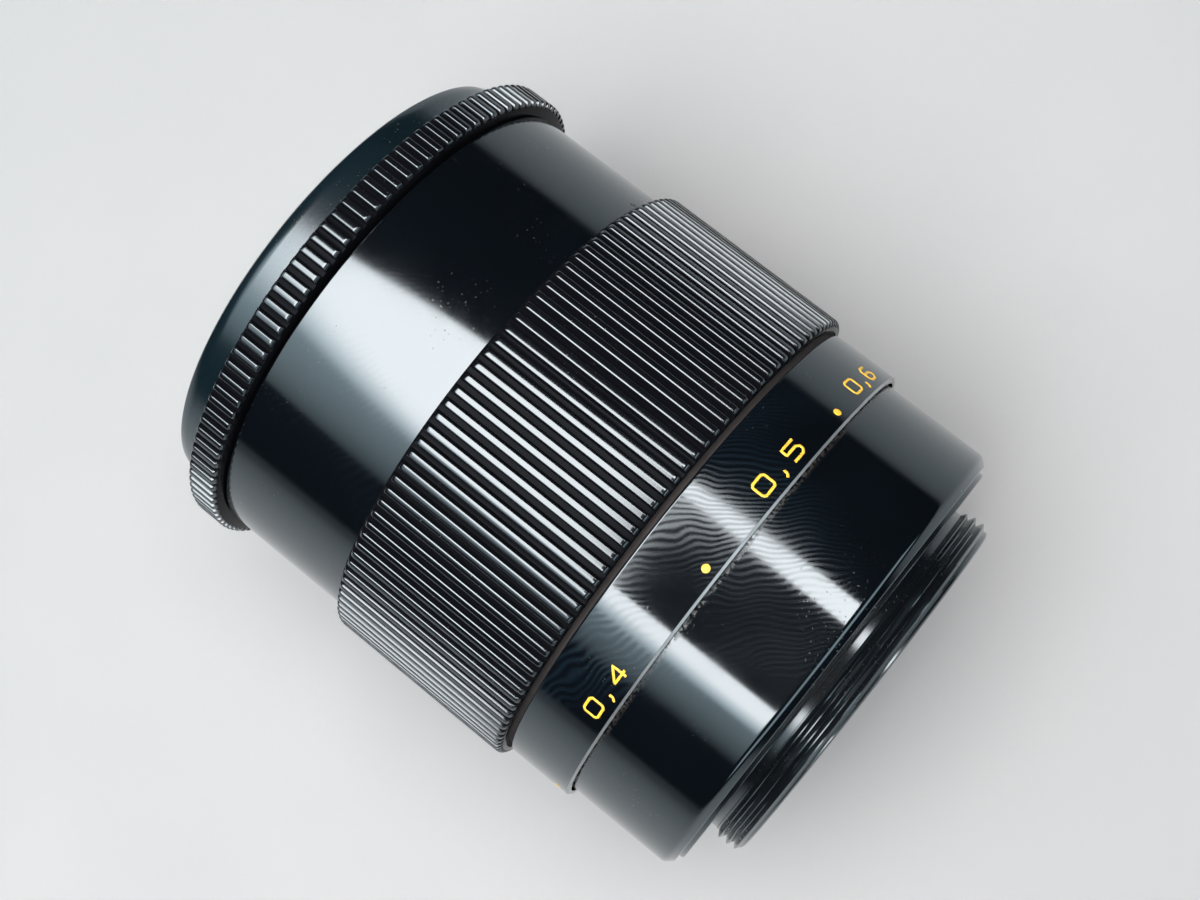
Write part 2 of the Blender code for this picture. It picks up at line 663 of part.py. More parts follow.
def baffle_cone(parent, skin):
    """Thin cone from the rim down to the ring round the front glass."""
    wide, narrow = SPIGOT_BORE - GAP, NAME_RING_BORE + 4 * MM
    profile = [
        (narrow, CONE_REAR),
        (narrow + CONE_WALL, CONE_REAR),
        (wide, CONE_FRONT - CONE_LIP),
        (wide, CONE_FRONT),
        (wide - CONE_WALL, CONE_FRONT),
    ]
    return turned("baffle_cone", profile, OUTER_STEPS, parent, skin)


def block_barrel(parent, skin):
    """Tube that carries the glass and the iris, hung from a flange at its front."""
    profile = [
        (BLOCK_BORE, BLOCK_REAR),
        (BLOCK_RADIUS, BLOCK_REAR),
        (BLOCK_RADIUS, BLOCK_FLANGE_REAR),
        (BLOCK_FLANGE_RADIUS, BLOCK_FLANGE_REAR),
        (BLOCK_FLANGE_RADIUS, BLOCK_FRONT),
        (BLOCK_BORE, BLOCK_FRONT),
    ]
    barrel = turned("block_barrel", profile, INNER_STEPS, parent, skin)
    lug_slot = lever_slot(
        "lug_slot", BLOCK_BORE - 1 * MM, BLOCK_RADIUS + 0.4 * MM, LUG_WIDTH, CAM_REAR - GAP, CAM_FRONT + GAP
    )
    rod_slot = lever_slot(
        "rod_slot",
        ROD_RADIUS - GAP,
        ROD_RADIUS + ROD_HEIGHT + GAP,
        ROD_WIDTH,
        BLOCK_FLANGE_REAR - 1 * MM,
        BLOCK_FRONT + 1 * MM,
    )
    key = bar_outline(KEY_INNER_RADIUS - GAP, BLOCK_FLANGE_RADIUS + 1 * MM, KEY_ANGLE, KEY_WIDTH + 2 * GAP)
    key_notch = extruded("key_notch", key, BLOCK_FLANGE_REAR - 1 * MM, BLOCK_FRONT + 1 * MM)
    for cutter in (lug_slot, rod_slot, key_notch):
        cut(barrel, cutter)
    return barrel


def block_retainer_ring(parent, skin):
    rear = BLOCK_FRONT + GAP
    front = rear + BLOCK_RETAINER_LENGTH
    profile = tube(BLOCK_FLANGE_RADIUS - BLOCK_RETAINER_WALL, BLOCK_FLANGE_RADIUS, rear, front)
    return turned("block_retainer_ring", profile, INNER_STEPS, parent, skin)


def front_cell(parent, skin):
    """Holder for the front and middle glasses, with a shoulder for each."""
    profile = [
        (MIDDLE_LENS_RADIUS - SEAT_WIDTH, FRONT_CELL_REAR),
        (PLATE_RADIUS, FRONT_CELL_REAR),
        (PLATE_RADIUS, CELL_FRONT),
        (FRONT_LENS_RADIUS + GAP, CELL_FRONT),
        (FRONT_LENS_RADIUS + GAP, SPACER_REAR - GAP),
        (MIDDLE_LENS_RADIUS + GAP, SPACER_REAR - GAP),
        (MIDDLE_LENS_RADIUS + GAP, FRONT_CELL_REAR + CELL_LEDGE),
        (MIDDLE_LENS_RADIUS - SEAT_WIDTH, FRONT_CELL_REAR + CELL_LEDGE),
    ]
    return turned("front_cell", profile, INNER_STEPS, parent, skin)


def front_name_ring(parent, skin):
    """Bare ring that closes the cell and holds the front glass by its edge."""
    rise = sag(FRONT_LENS_CURVE, FRONT_LENS_RADIUS) - sag(FRONT_LENS_CURVE, NAME_RING_BORE)
    profile = [
        (NAME_RING_BORE, FRONT_LENS_RIM + GAP + rise),
        (FRONT_LENS_RADIUS, FRONT_LENS_RIM + GAP),
        (FRONT_LENS_RADIUS, NAME_RING_REAR),
        (BLOCK_RADIUS, NAME_RING_REAR),
        (BLOCK_RADIUS, NAME_RING_FRONT),
        (NAME_RING_BORE + 1 * MM, NAME_RING_FRONT),
        (NAME_RING_BORE, NAME_RING_REAR),
    ]
    return turned("front_name_ring", profile, INNER_STEPS, parent, skin)


def front_lens(parent, skin):
    radius = FRONT_LENS_RADIUS
    rear = surface(-FRONT_LENS_BACK_CURVE, FRONT_LENS_REAR - sag(FRONT_LENS_BACK_CURVE, radius), radius)
    front = surface(FRONT_LENS_CURVE, FRONT_LENS_RIM + sag(FRONT_LENS_CURVE, radius), radius)
    return lens("front_lens", rear, front, parent, skin)


def lens_spacer(parent, skin):
    profile = tube(MIDDLE_LENS_RADIUS - SEAT_WIDTH, FRONT_LENS_RADIUS, SPACER_REAR, SPACER_FRONT)
    return turned("lens_spacer", profile, INNER_STEPS, parent, skin)


def middle_lens(parent, skin):
    radius = MIDDLE_LENS_RADIUS
    rear = surface(MIDDLE_LENS_BACK_CURVE, MIDDLE_LENS_REAR + sag(MIDDLE_LENS_BACK_CURVE, radius), radius)
    rim = MIDDLE_LENS_REAR + MIDDLE_LENS_EDGE
    front = surface(-MIDDLE_LENS_FRONT_CURVE, rim - sag(MIDDLE_LENS_FRONT_CURVE, radius), radius)
    return lens("middle_lens", rear, front, parent, skin)


def rear_vertices():
    """Axial places of the rear pair's back, cemented and front surfaces."""
    back = REAR_LENS_REAR - sag(REAR_LENS_BACK_CURVE, REAR_LENS_RADIUS)
    front = REAR_LENS_REAR + REAR_LENS_EDGE - sag(REAR_LENS_FRONT_CURVE, REAR_LENS_RADIUS)
    return back, front - REAR_LENS_CORE, front


def rear_lens_back(parent, skin):
    back, cement, _ = rear_vertices()
    rear = surface(-REAR_LENS_BACK_CURVE, back, REAR_LENS_RADIUS)
    front = surface(REAR_LENS_CEMENT_CURVE, cement - CEMENT_GAP, REAR_LENS_RADIUS)
    return lens("rear_lens_back", rear, front, parent, skin)


def rear_lens_front(parent, skin):
    _, cement, vertex = rear_vertices()
    rear = surface(REAR_LENS_CEMENT_CURVE, cement, REAR_LENS_RADIUS)
    front = surface(-REAR_LENS_FRONT_CURVE, vertex, REAR_LENS_RADIUS)
    return lens("rear_lens_front", rear, front, parent, skin)


def rear_cell(parent, skin):
    profile = [
        (REAR_LENS_RADIUS - SEAT_WIDTH, BLOCK_REAR),
        (PLATE_RADIUS, BLOCK_REAR),
        (PLATE_RADIUS, REAR_CELL_FRONT),
        (REAR_LENS_RADIUS + GAP, REAR_CELL_FRONT),
        (REAR_LENS_RADIUS + GAP, BLOCK_REAR + CELL_LEDGE),
        (REAR_LENS_RADIUS - SEAT_WIDTH, BLOCK_REAR + CELL_LEDGE),
    ]
    return turned("rear_cell", profile, INNER_STEPS, parent, skin)


def rear_lens_retainer(parent, skin):
    rear = REAR_LENS_REAR + REAR_LENS_EDGE + GAP
    profile = tube(REAR_LENS_RADIUS - SEAT_WIDTH, REAR_LENS_RADIUS, rear, REAR_CELL_FRONT)
    return turned("rear_lens_retainer", profile, INNER_STEPS, parent, skin)


def blade_angle(number):
    return 360.0 * number / IRIS_BLADES


def iris_base_plate(parent, skin):
    profile = tube(STOP_RADIUS, PLATE_RADIUS, IRIS_REAR, IRIS_REAR + PLATE_LENGTH)
    plate = turned("iris_base_plate", profile, INNER_STEPS, parent, skin)
    below, above = IRIS_REAR - 1 * MM, IRIS_REAR + 2 * PLATE_LENGTH
    holes = []
    for number in range(IRIS_BLADES):
        x, y, _ = polar(PIVOT_RADIUS, blade_angle(number))
        holes.append(rod(f"pivot_hole_{number}", PIN_RADIUS + GAP, below, above, x, y))
    cut(plate, several("pivot_holes", holes))
    return plate


def drive_pin_place(turn):
    """Where a blade's drive pin stands, in the frame where its pivot is at angle 0."""
    return Vector((PIVOT_RADIUS + DRIVE_ARM * sin(radians(turn)), -DRIVE_ARM * cos(radians(turn))))


def cam_slot_outline(steps=8):
    """Path of a drive pin as the cam plate sees it, widened to a slot with round ends. The plate is
    drawn as it stands at rest."""
    width = PIN_RADIUS + GAP
    path = []
    for i in range(steps + 1):
        turn = CLOSED_TURN * i / steps
        spun = Matrix.Rotation(radians((REST_TURN - turn) * RING_PER_BLADE), 2)
        path.append(spun @ drive_pin_place(turn))
    sides = []
    for before, here, after in zip([path[0]] + path, path, path[1:] + [path[-1]]):
        along = (after - before).normalized()
        sides.append((here, Vector((along.y, -along.x)) * width))
    first = atan2(-sides[0][1].y, -sides[0][1].x)
    last = atan2(sides[-1][1].y, sides[-1][1].x)
    cap = 4
    rounds = [i * pi / cap for i in range(1, cap)]
    outline = [here + side for here, side in sides]
    outline += [path[-1] + width * Vector((cos(last + turn), sin(last + turn))) for turn in rounds]
    outline += [here - side for here, side in reversed(sides)]
    outline += [path[0] + width * Vector((cos(first + turn), sin(first + turn))) for turn in rounds]
    return outline


def iris_cam_plate(parent, skin):
    """Plate with one slot for each blade and a lug that the drive rod's fork holds."""
    profile = tube(BLADE_INNER_RADIUS, PLATE_RADIUS, CAM_REAR, CAM_FRONT)
    plate = turned("iris_cam_plate", profile, INNER_STEPS, parent, skin)
    outline = cam_slot_outline()
    cutters = []
    for number in range(IRIS_BLADES):
        spin = Matrix.Rotation(radians(blade_angle(number)), 2)
        turned_outline = [spin @ point for point in outline]
        cutters.append(extruded(f"cam_slot_{number}", turned_outline, CAM_REAR - 1 * MM, CAM_FRONT + 1 * MM))
    cut(plate, several("cam_slots", cutters))
    lug = bar_outline(PLATE_RADIUS - 0.3 * MM, ROD_RADIUS + ROD_HEIGHT, DRIVE_ANGLE, LUG_WIDTH)
    join(plate, extruded("cam_lug", lug, CAM_REAR + 0.05 * MM, CAM_FRONT - 0.05 * MM))
    return plate


def arc(centre, radius, start, end, steps):
    """Points on a circle from one angle to another, both in degrees."""
    angles = [start + (end - start) * i / steps for i in range(steps + 1)]
    return [centre + polar(radius, angle).to_2d() for angle in angles]


def blade_outline():
    """Crescent with its pivot boss and drive boss, open, about its own pivot as origin."""
    axis = Vector((-PIVOT_RADIUS, 0.0))
    pivot = Vector((0.0, 0.0))
    drive = Vector((0.0, -DRIVE_ARM))
    half = (BLADE_OUTER_RADIUS - BLADE_INNER_RADIUS) / 2
    tail = axis + polar(BLADE_INNER_RADIUS + half, BLADE_SPAN).to_2d()
    outline = arc(axis, BLADE_INNER_RADIUS, -6.0, BLADE_SPAN, ARC_STEPS)
    outline += arc(tail, half, BLADE_SPAN + 180, BLADE_SPAN, 5)[1:-1]
    outline += arc(axis, BLADE_OUTER_RADIUS, BLADE_SPAN, 6.0, ARC_STEPS)
    outline += arc(pivot, PIVOT_BOSS, 90, 0, 3)
    outline += arc(drive, DRIVE_BOSS, 0, -180, 4)
    return outline


def iris_blade(number, parent, skin):
    """One blade in its own layer. Its pivot pin reaches back into the base plate and its drive pin
    forwards into the cam plate."""
    layer = BLADES_REAR + number * BLADE_PITCH
    name = f"iris_blade_{number + 1}"
    blade = extruded(name, blade_outline(), layer, layer + BLADE_THICKNESS, parent, skin)
    pivot_pin = rod(f"{name}_pivot_pin", PIN_RADIUS, IRIS_REAR + GAP, layer + BLADE_THICKNESS + RIVET_HEAD)
    drive_pin = rod(f"{name}_drive_pin", PIN_RADIUS, layer - RIVET_HEAD, CAM_FRONT - GAP, 0.0, -DRIVE_ARM)
    join(blade, pivot_pin)
    join(blade, drive_pin)
    return blade


def main():
    clear_scene()
    black = material("anodised_black", (0.012, 0.013, 0.015), 0.18, 1.0)
    satin = material("satin_black", (0.02, 0.02, 0.02), 0.5, 0.8)
    flat = material("matt_black", (0.015, 0.015, 0.015), 0.85)
    brass = material("brass", (0.62, 0.46, 0.2), 0.35, 1.0)
    steel = material("blued_steel", (0.05, 0.05, 0.06), 0.35, 1.0)
    glass = material("coated_glass", (0.9, 0.92, 0.95), 0.02, 0.0, 1.0)

    axis = empty("optical_axis", (0.0, AXIS_OFFSET, AXIS_HEIGHT))
    axis.rotation_euler = (pi / 2, 0.0, 0.0)
    fixed = empty("fixed_body", parent=axis)
    focus = empty("focus_axis", parent=axis)
    head = empty("head_slide", parent=axis)
    aperture = empty("aperture_axis", parent=head)

    mount_thread_ring(fixed, black)
    fixed_barrel(fixed, black)
    focus_retainer_ring(fixed, brass)
    focus_guide_key(fixed, brass)
    guide_key_screw(fixed, steel)

    focus_grip(focus, black)
    distance_scale_ring(focus, black)
    focus_helicoid_nut(focus, brass)
    focus_lock_ring(focus, brass)

    head_tube(head, black)
    head_helicoid(head, satin)
    for number, angle in enumerate(GRUB_ANGLES, 1):
        tube_grub_screw(number, angle, head, steel)
    front_rim(head, black)
    baffle_cone(head, flat)
    block_barrel(head, satin)
    block_retainer_ring(head, brass)
    front_cell(head, satin)
    front_name_ring(head, black)
    front_lens(head, glass)
    lens_spacer(head, flat)
    middle_lens(head, glass)
    iris_base_plate(head, flat)
    rear_cell(head, satin)
    rear_lens_front(head, glass)
    rear_lens_back(head, glass)
    rear_lens_retainer(head, flat)

    aperture_ring(aperture, black)
    aperture_drive_sleeve(aperture, satin)
    aperture_drive_arm(aperture, brass)
    iris_cam_plate(aperture, flat)

    for number in range(IRIS_BLADES):
        place = polar(PIVOT_RADIUS, blade_angle(number))
        pivot = empty(f"blade_pivot_{number + 1}", place, head)
        pivot.rotation_euler = (0.0, 0.0, radians(blade_angle(number) + REST_TURN))
        iris_blade(number, pivot, steel)


main()
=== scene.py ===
"""Looks of the prime lens: fine turned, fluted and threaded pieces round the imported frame, with
procedural materials, a pale table, one large soft light overhead, a dim card at the rear, a dark
flag beside the camera and the camera itself."""

from math import asin, cos, degrees, pi, radians, sin, sqrt, tau

import bmesh
import bpy
from mathutils import Matrix, Vector

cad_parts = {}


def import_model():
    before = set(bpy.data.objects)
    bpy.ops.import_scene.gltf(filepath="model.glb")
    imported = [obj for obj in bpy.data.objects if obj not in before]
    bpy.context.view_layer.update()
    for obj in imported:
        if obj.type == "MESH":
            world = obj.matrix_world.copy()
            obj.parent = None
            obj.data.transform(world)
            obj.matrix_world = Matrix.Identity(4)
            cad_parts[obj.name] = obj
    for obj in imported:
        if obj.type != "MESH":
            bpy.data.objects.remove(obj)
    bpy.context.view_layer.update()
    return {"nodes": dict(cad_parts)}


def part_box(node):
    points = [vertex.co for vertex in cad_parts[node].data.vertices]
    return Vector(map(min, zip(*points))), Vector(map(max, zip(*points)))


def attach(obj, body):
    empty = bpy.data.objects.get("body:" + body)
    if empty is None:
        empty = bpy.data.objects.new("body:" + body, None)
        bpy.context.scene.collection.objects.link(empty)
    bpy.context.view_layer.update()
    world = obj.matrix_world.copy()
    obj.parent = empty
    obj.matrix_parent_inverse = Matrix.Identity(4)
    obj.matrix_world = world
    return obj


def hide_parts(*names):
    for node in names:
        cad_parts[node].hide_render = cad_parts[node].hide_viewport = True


MM = 0.001

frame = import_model()

# The lens frame: z runs along the optical axis from the flange towards the front, angle 0 is along
# world +X and 90 is up.
THREAD_AND_NECK = 4.0 * MM
AXIS_Z = sum(corner.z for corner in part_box("aperture_ring")) / 2
FLANGE_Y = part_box("mount_thread_ring")[1].y - THREAD_AND_NECK


def point(radius, angle, z):
    """World place of a point given in the lens frame, with the angle in degrees."""
    return Vector((radius * cos(radians(angle)), FLANGE_Y - z, AXIS_Z + radius * sin(radians(angle))))


def span(node):
    """(rear z, front z, outer radius) of a round CAD node on the axis."""
    low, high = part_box(node)
    return FLANGE_Y - high.y, FLANGE_Y - low.y, (high.x - low.x) / 2


# ---------------------------------------------------------------- materials


class Nodes:
    """Short hand for building one material's nodes."""

    def __init__(self, name):
        self.material = bpy.data.materials.new(name)
        self.material.use_nodes = True
        self.tree = self.material.node_tree
        self.shader = self.tree.nodes["Principled BSDF"]
        self.coords = self.add("ShaderNodeTexCoord").outputs["Object"]

    def add(self, kind, **settings):
        node = self.tree.nodes.new(kind)
        for key, value in settings.items():
            setattr(node, key, value)
        return node

    def link(self, source, target):
        self.tree.links.new(source, target)

    def set(self, **values):
        for key, value in values.items():
            self.shader.inputs[key.replace("_", " ")].default_value = value

    def scaled(self, scale):
        """The piece's own coordinates, stretched by (x, y, z)."""
        mapping = self.add("ShaderNodeMapping")
        self.link(self.coords, mapping.inputs["Vector"])
        mapping.inputs["Scale"].default_value = scale
        return mapping.outputs["Vector"]

    def axes(self):
        """The piece's own x, y and z, by name."""
        split = self.add("ShaderNodeSeparateXYZ")
        self.link(self.coords, split.inputs["Vector"])
        return split.outputs

    def noise(self, scale, detail=3.0, rough=0.5, vector=None, distortion=0.0):
        node = self.add("ShaderNodeTexNoise")
        self.link(vector or self.coords, node.inputs["Vector"])
        node.inputs["Scale"].default_value = scale
        node.inputs["Detail"].default_value = detail
        node.inputs["Roughness"].default_value = rough
        node.inputs["Distortion"].default_value = distortion
        return node.outputs["Fac"]

    def remap(self, value, low, high, to_low, to_high):
        node = self.add("ShaderNodeMapRange")
        self.link(value, node.inputs["Value"])
        for key, number in zip(("From Min", "From Max", "To Min", "To Max"), (low, high, to_low, to_high)):
            node.inputs[key].default_value = number
        return node.outputs["Result"]

    def math(self, operation, first, second):
        node = self.add("ShaderNodeMath", operation=operation)
        for socket, value in zip(node.inputs, (first, second)):
            if isinstance(value, (int, float)):
                socket.default_value = value
            else:
                self.link(value, socket)
        return node.outputs[0]

    def reach(self, first, second):
        """Length of a flat vector with these two parts."""
        squares = [self.math("POWER", self.math("ABSOLUTE", part, 0.0), 2.0) for part in (first, second)]
        return self.math("POWER", self.math("ADD", *squares), 0.5)

    def mix(self, factor, first, second):
        """Colour between two colours."""
        node = self.add("ShaderNodeMix", data_type="RGBA")
        self.link(factor, node.inputs["Factor"])
        for key, colour in (("A", first), ("B", second)):
            socket = [item for item in node.inputs if item.name == key and item.type == "RGBA"][0]
            if isinstance(colour, tuple):
                socket.default_value = (*colour, 1.0)
            else:
                self.link(colour, socket)
        return [item for item in node.outputs if item.type == "RGBA"][0]

    def bump(self, height, strength, distance):
        node = self.add("ShaderNodeBump")
        self.link(height, node.inputs["Height"])
        node.inputs["Strength"].default_value = strength
        node.inputs["Distance"].default_value = distance
        self.link(node.outputs["Normal"], self.shader.inputs["Normal"])


BLACK = (0.0012, 0.002, 0.003)
GLOSS_IOR = 1.86
COOL_SHINE = (0.74, 0.92, 1.0, 1.0)
PRINT_SCALE = 820
FINGER_FILM = (0.005, 0.014, 0.024)
DUST_GREY = (0.03, 0.029, 0.027)


def gloss_black(name, colour=BLACK, rough=0.1, prints=0.0, dust=0.76, turning=0.03, dirt=None, valley=None):
    """Glossy black anodising over turned metal: faint turning lines, smears, finger marks and dust.
    Crumbs of dirt lie on both sides of a world y, and the shine is turned down below the radius of a
    fluted crest, as painted shade in the grooves."""
    n = Nodes(name)
    n.set(IOR=GLOSS_IOR, Specular_Tint=COOL_SHINE)
    smear = n.remap(n.noise(70, 4, 0.6, distortion=0.8), 0.45, 0.75, 0.0, 1.0)
    roughness = n.remap(smear, 0.0, 1.0, rough, rough + 0.05)
    if prints:
        patch = n.remap(n.noise(60, 1, 0.4), 0.5, 0.66, 0.0, 1.0)
        ridges = n.add("ShaderNodeTexWave", bands_direction="DIAGONAL")
        n.link(n.coords, ridges.inputs["Vector"])
        ridges.inputs["Scale"].default_value = PRINT_SCALE
        ridges.inputs["Distortion"].default_value = 16
        ridges.inputs["Detail"].default_value = 1
        ridges.inputs["Detail Scale"].default_value = 0.25
        print_mask = n.math("MULTIPLY", n.math("MULTIPLY", ridges.outputs["Fac"], patch), prints)
        roughness = n.math("ADD", roughness, n.math("MULTIPLY", print_mask, 0.12))
    specks = n.remap(n.noise(4200, 0, 0.5), dust, dust + 0.03, 0.0, 1.0)
    specks = n.math("MULTIPLY", specks, n.remap(n.noise(110, 2, 0.5), 0.5, 0.68, 0.0, 1.0))
    tint = n.mix(n.noise(120, 3, 0.6), colour, tuple(1.7 * part for part in colour))
    if prints:
        tint = n.mix(n.math("MULTIPLY", print_mask, 0.35), tint, FINGER_FILM)
    if dirt is not None:
        away = n.math("ABSOLUTE", n.math("SUBTRACT", n.axes()["Y"], dirt), 0.0)
        crumbs = n.remap(n.noise(2600, 3, 0.6), 0.42, 0.56, 0.0, 1.0)
        crumbs = n.math("MULTIPLY", crumbs, n.remap(away, 0.1 * MM, 0.55 * MM, 1.0, 0.0))
        specks = n.math("MAXIMUM", specks, crumbs)
    if valley is not None:
        # Painted shade: the shine fades out towards the bottom of the flutes.
        axes = n.axes()
        reach = n.reach(n.math("SUBTRACT", axes["Z"], AXIS_Z), axes["X"])
        groove_painted_shade = n.remap(reach, valley - 0.38 * MM, valley - 0.09 * MM, 0.01, 0.5)
        n.link(groove_painted_shade, n.shader.inputs["Specular IOR Level"])
    n.link(n.math("ADD", roughness, n.math("MULTIPLY", specks, 0.3)), n.shader.inputs["Roughness"])
    n.link(n.mix(specks, tint, DUST_GREY), n.shader.inputs["Base Color"])
    lines = n.noise(1.0, 4, 0.7, vector=n.scaled((25, 6500, 25)))
    n.bump(lines, turning, 0.02 * MM)
    return n.material


def satin_black(name):
    """Satin black finish of the inner turned parts."""
    n = Nodes(name)
    tint = n.mix(n.noise(300, 4, 0.6), (0.012, 0.013, 0.015), (0.024, 0.026, 0.03))
    n.link(tint, n.shader.inputs["Base Color"])
    n.link(n.remap(n.noise(90, 4, 0.6), 0.3, 0.7, 0.3, 0.48), n.shader.inputs["Roughness"])
    n.bump(n.noise(1.0, 3, 0.6, vector=n.scaled((40, 4200, 40))), 0.2, 0.02 * MM)
    return n.material


def matt_black(name):
    """Matt black paint that kills stray light."""
    n = Nodes(name)
    tint = n.mix(n.noise(500, 5, 0.7), (0.006, 0.006, 0.007), (0.02, 0.02, 0.021))
    n.link(tint, n.shader.inputs["Base Color"])
    n.link(n.remap(n.noise(400, 3, 0.6), 0.3, 0.7, 0.7, 0.95), n.shader.inputs["Roughness"])
    n.bump(n.noise(3500, 2, 0.6), 0.25, 0.03 * MM)
    return n.material


def turned_metal(name, colour, dark, rough=0.3):
    """Bare metal with the fine lines of a lathe."""
    n = Nodes(name)
    n.set(Metallic=1.0)
    lines = n.noise(1.0, 4, 0.7, vector=n.scaled((30, 5200, 30)))
    n.link(n.mix(n.noise(160, 5, 0.6), colour, dark), n.shader.inputs["Base Color"])
    n.link(n.remap(lines, 0.3, 0.7, rough - 0.07, rough + 0.12), n.shader.inputs["Roughness"])
    n.bump(lines, 0.25, 0.02 * MM)
    return n.material


def coated_glass(name, tint):
    """Optical glass whose coating shows a coloured sheen, with a little dust."""
    n = Nodes(name)
    n.set(Transmission_Weight=1.0, IOR=1.52, Coat_Weight=0.6, Coat_Roughness=0.01)
    n.shader.inputs["Coat Tint"].default_value = (*tint, 1.0)
    n.shader.inputs["Specular Tint"].default_value = (*tint, 1.0)
    n.link(n.mix(n.noise(200, 2, 0.5), (0.97, 0.98, 1.0), (0.92, 0.95, 1.0)), n.shader.inputs["Base Color"])
    n.link(n.remap(n.noise(3200, 0, 0.5), 0.8, 0.84, 0.0, 0.2), n.shader.inputs["Roughness"])
    return n.material


def scale_paint(name, colour):
    """Slightly worn paint of the scale marks."""
    n = Nodes(name)
    worn = n.remap(n.noise(2600, 3, 0.6), 0.35, 0.7, 0.0, 1.0)
    n.link(n.mix(worn, colour, tuple(0.7 * part for part in colour)), n.shader.inputs["Base Color"])
    n.link(n.remap(worn, 0.0, 1.0, 0.42, 0.65), n.shader.inputs["Roughness"])
    n.bump(n.noise(5200, 2, 0.5), 0.2, 0.02 * MM)
    return n.material


SCALE_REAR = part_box("distance_scale_ring")[1].y
BARREL_SKIN = gloss_black("barrel_anodising", rough=0.065, prints=0.8, dust=0.76, dirt=SCALE_REAR)
SCALE_SKIN = gloss_black("scale_ring_anodising", rough=0.065, prints=1.0, dust=0.77)
GRIP_SKIN = gloss_black(
    "grip_anodising", colour=(0.0025, 0.003, 0.004), rough=0.13, dust=0.79, turning=0.0,
    valley=span("focus_grip")[2],
)
TUBE_SKIN = gloss_black("tube_anodising", rough=0.085, prints=0.2, dust=0.77)
RIM_SKIN = gloss_black("rim_anodising", colour=(0.002, 0.006, 0.0085), rough=0.18, dust=0.77)
MOUNT_SKIN = gloss_black("mount_anodising", colour=(0.003, 0.004, 0.005), rough=0.17, dust=0.77)
# Worn bare metal for the scale ring's rear edge, which also stands in for the edge's bright line: partly a
# painted highlight.
EDGE_WEAR_AND_HIGHLIGHT_SKIN = turned_metal("worn_edge_and_painted_highlight", (0.55, 0.57, 0.58), (0.2, 0.21, 0.22), 0.34)
SATIN = satin_black("inner_satin")
MATT = matt_black("baffle_matt")
BRASS = turned_metal("turned_brass", (0.62, 0.43, 0.17), (0.4, 0.26, 0.1))
STEEL = turned_metal("blued_steel", (0.06, 0.065, 0.08), (0.03, 0.03, 0.04), 0.32)
BLADE_STEEL = turned_metal("blade_steel", (0.05, 0.052, 0.06), (0.025, 0.026, 0.03), 0.42)
PAINT = scale_paint("scale_paint", (0.9, 0.6, 0.05))
FRONT_GLASS = coated_glass("front_glass_coating", (0.8, 0.8, 1.0))
INNER_GLASS = coated_glass("inner_glass_coating", (1.0, 0.75, 0.5))

# ---------------------------------------------------------------- mesh tools


def piece(name, mesh, body, skin, nodes=(), sharp=35):
    """Links a bmesh as a finished piece that rides on a body."""
    bmesh.ops.recalc_face_normals(mesh, faces=mesh.faces)
    data = bpy.data.meshes.new(name)
    mesh.to_mesh(data)
    mesh.free()
    data.shade_smooth()
    data.set_sharp_from_angle(angle=radians(sharp))
    made = bpy.data.objects.new(name, data)
    bpy.context.scene.collection.objects.link(made)
    data.materials.append(skin)
    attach(made, body)
    if nodes:
        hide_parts(*nodes)
    return made


ROUNDING_STEPS = 4
SUPPORT = 1.4


def fillet(corners):
    """Rounds the corners of a closed outline. A corner is (radius, z) or (radius, z, rounding). A
    support point on each side of a rounding keeps the shading of the long faces straight."""
    outline = []
    count = len(corners)
    for i, corner in enumerate(corners):
        here = Vector(corner[:2])
        rounding = corner[2] if len(corner) > 2 else 0.0
        if not rounding:
            outline.append(tuple(here))
            continue
        back = Vector(corners[i - 1][:2]) - here
        on = Vector(corners[(i + 1) % count][:2]) - here
        reach = min(rounding, 0.3 * back.length, 0.3 * on.length)
        start, end = here + back.normalized() * reach, here + on.normalized() * reach
        outline.append(tuple(here + back.normalized() * SUPPORT * reach))
        for step in range(ROUNDING_STEPS + 1):
            t = step / ROUNDING_STEPS
            outline.append(tuple(start * (1 - t) ** 2 + here * 2 * t * (1 - t) + end * t * t))
        outline.append(tuple(here + on.normalized() * SUPPORT * reach))
    return outline


def rows_mesh(rows, angles):
    """Rings joined in a loop. A row is (radius, z), and the radius may be a function of the angle."""
    mesh = bmesh.new()
    rings = []
    for radius, z in rows:
        if callable(radius):
            rings.append([mesh.verts.new(point(radius(angle), angle, z)) for angle in angles])
        elif radius < 1e-9:
            rings.append([mesh.verts.new(point(0.0, 0.0, z))])
        else:
            rings.append([mesh.verts.new(point(radius, angle, z)) for angle in angles])
    for low, high in zip(rings, rings[1:] + rings[:1]):
        if len(low) == 1 and len(high) == 1:
            continue
        for i in range(len(angles)):
            j = (i + 1) % len(angles)
            corners = [low[i % len(low)], low[j % len(low)], high[j % len(high)], high[i % len(high)]]
            mesh.faces.new(list(dict.fromkeys(corners)))
    return mesh


def even(count):
    """Evenly spread angles of a full turn."""
    return [360.0 * i / count for i in range(count)]


def lathe(name, corners, body, skin, nodes=(), count=240, sharp=35):
    """Turned piece from a closed outline."""
    piece(name, rows_mesh(fillet(corners), even(count)), body, skin, nodes, sharp)


# One flute from the start of its crest: (place along the pitch, share of the depth).
FLUTE = (
    (0.0, 0.16),
    (0.045, 0.04),
    (0.12, 0.008),
    (0.25, 0.0),
    (0.38, 0.008),
    (0.455, 0.04),
    (0.5, 0.16),
    (0.53, 0.7),
    (0.575, 0.96),
    (0.75, 1.0),
    (0.925, 0.96),
    (0.97, 0.7),
)


FLUTES = 120
FLUTE_DEPTH = 0.62 * MM
END_SHARE = 0.12
END_STEPS = 5
FLUTE_SUPPORT = 0.2 * MM


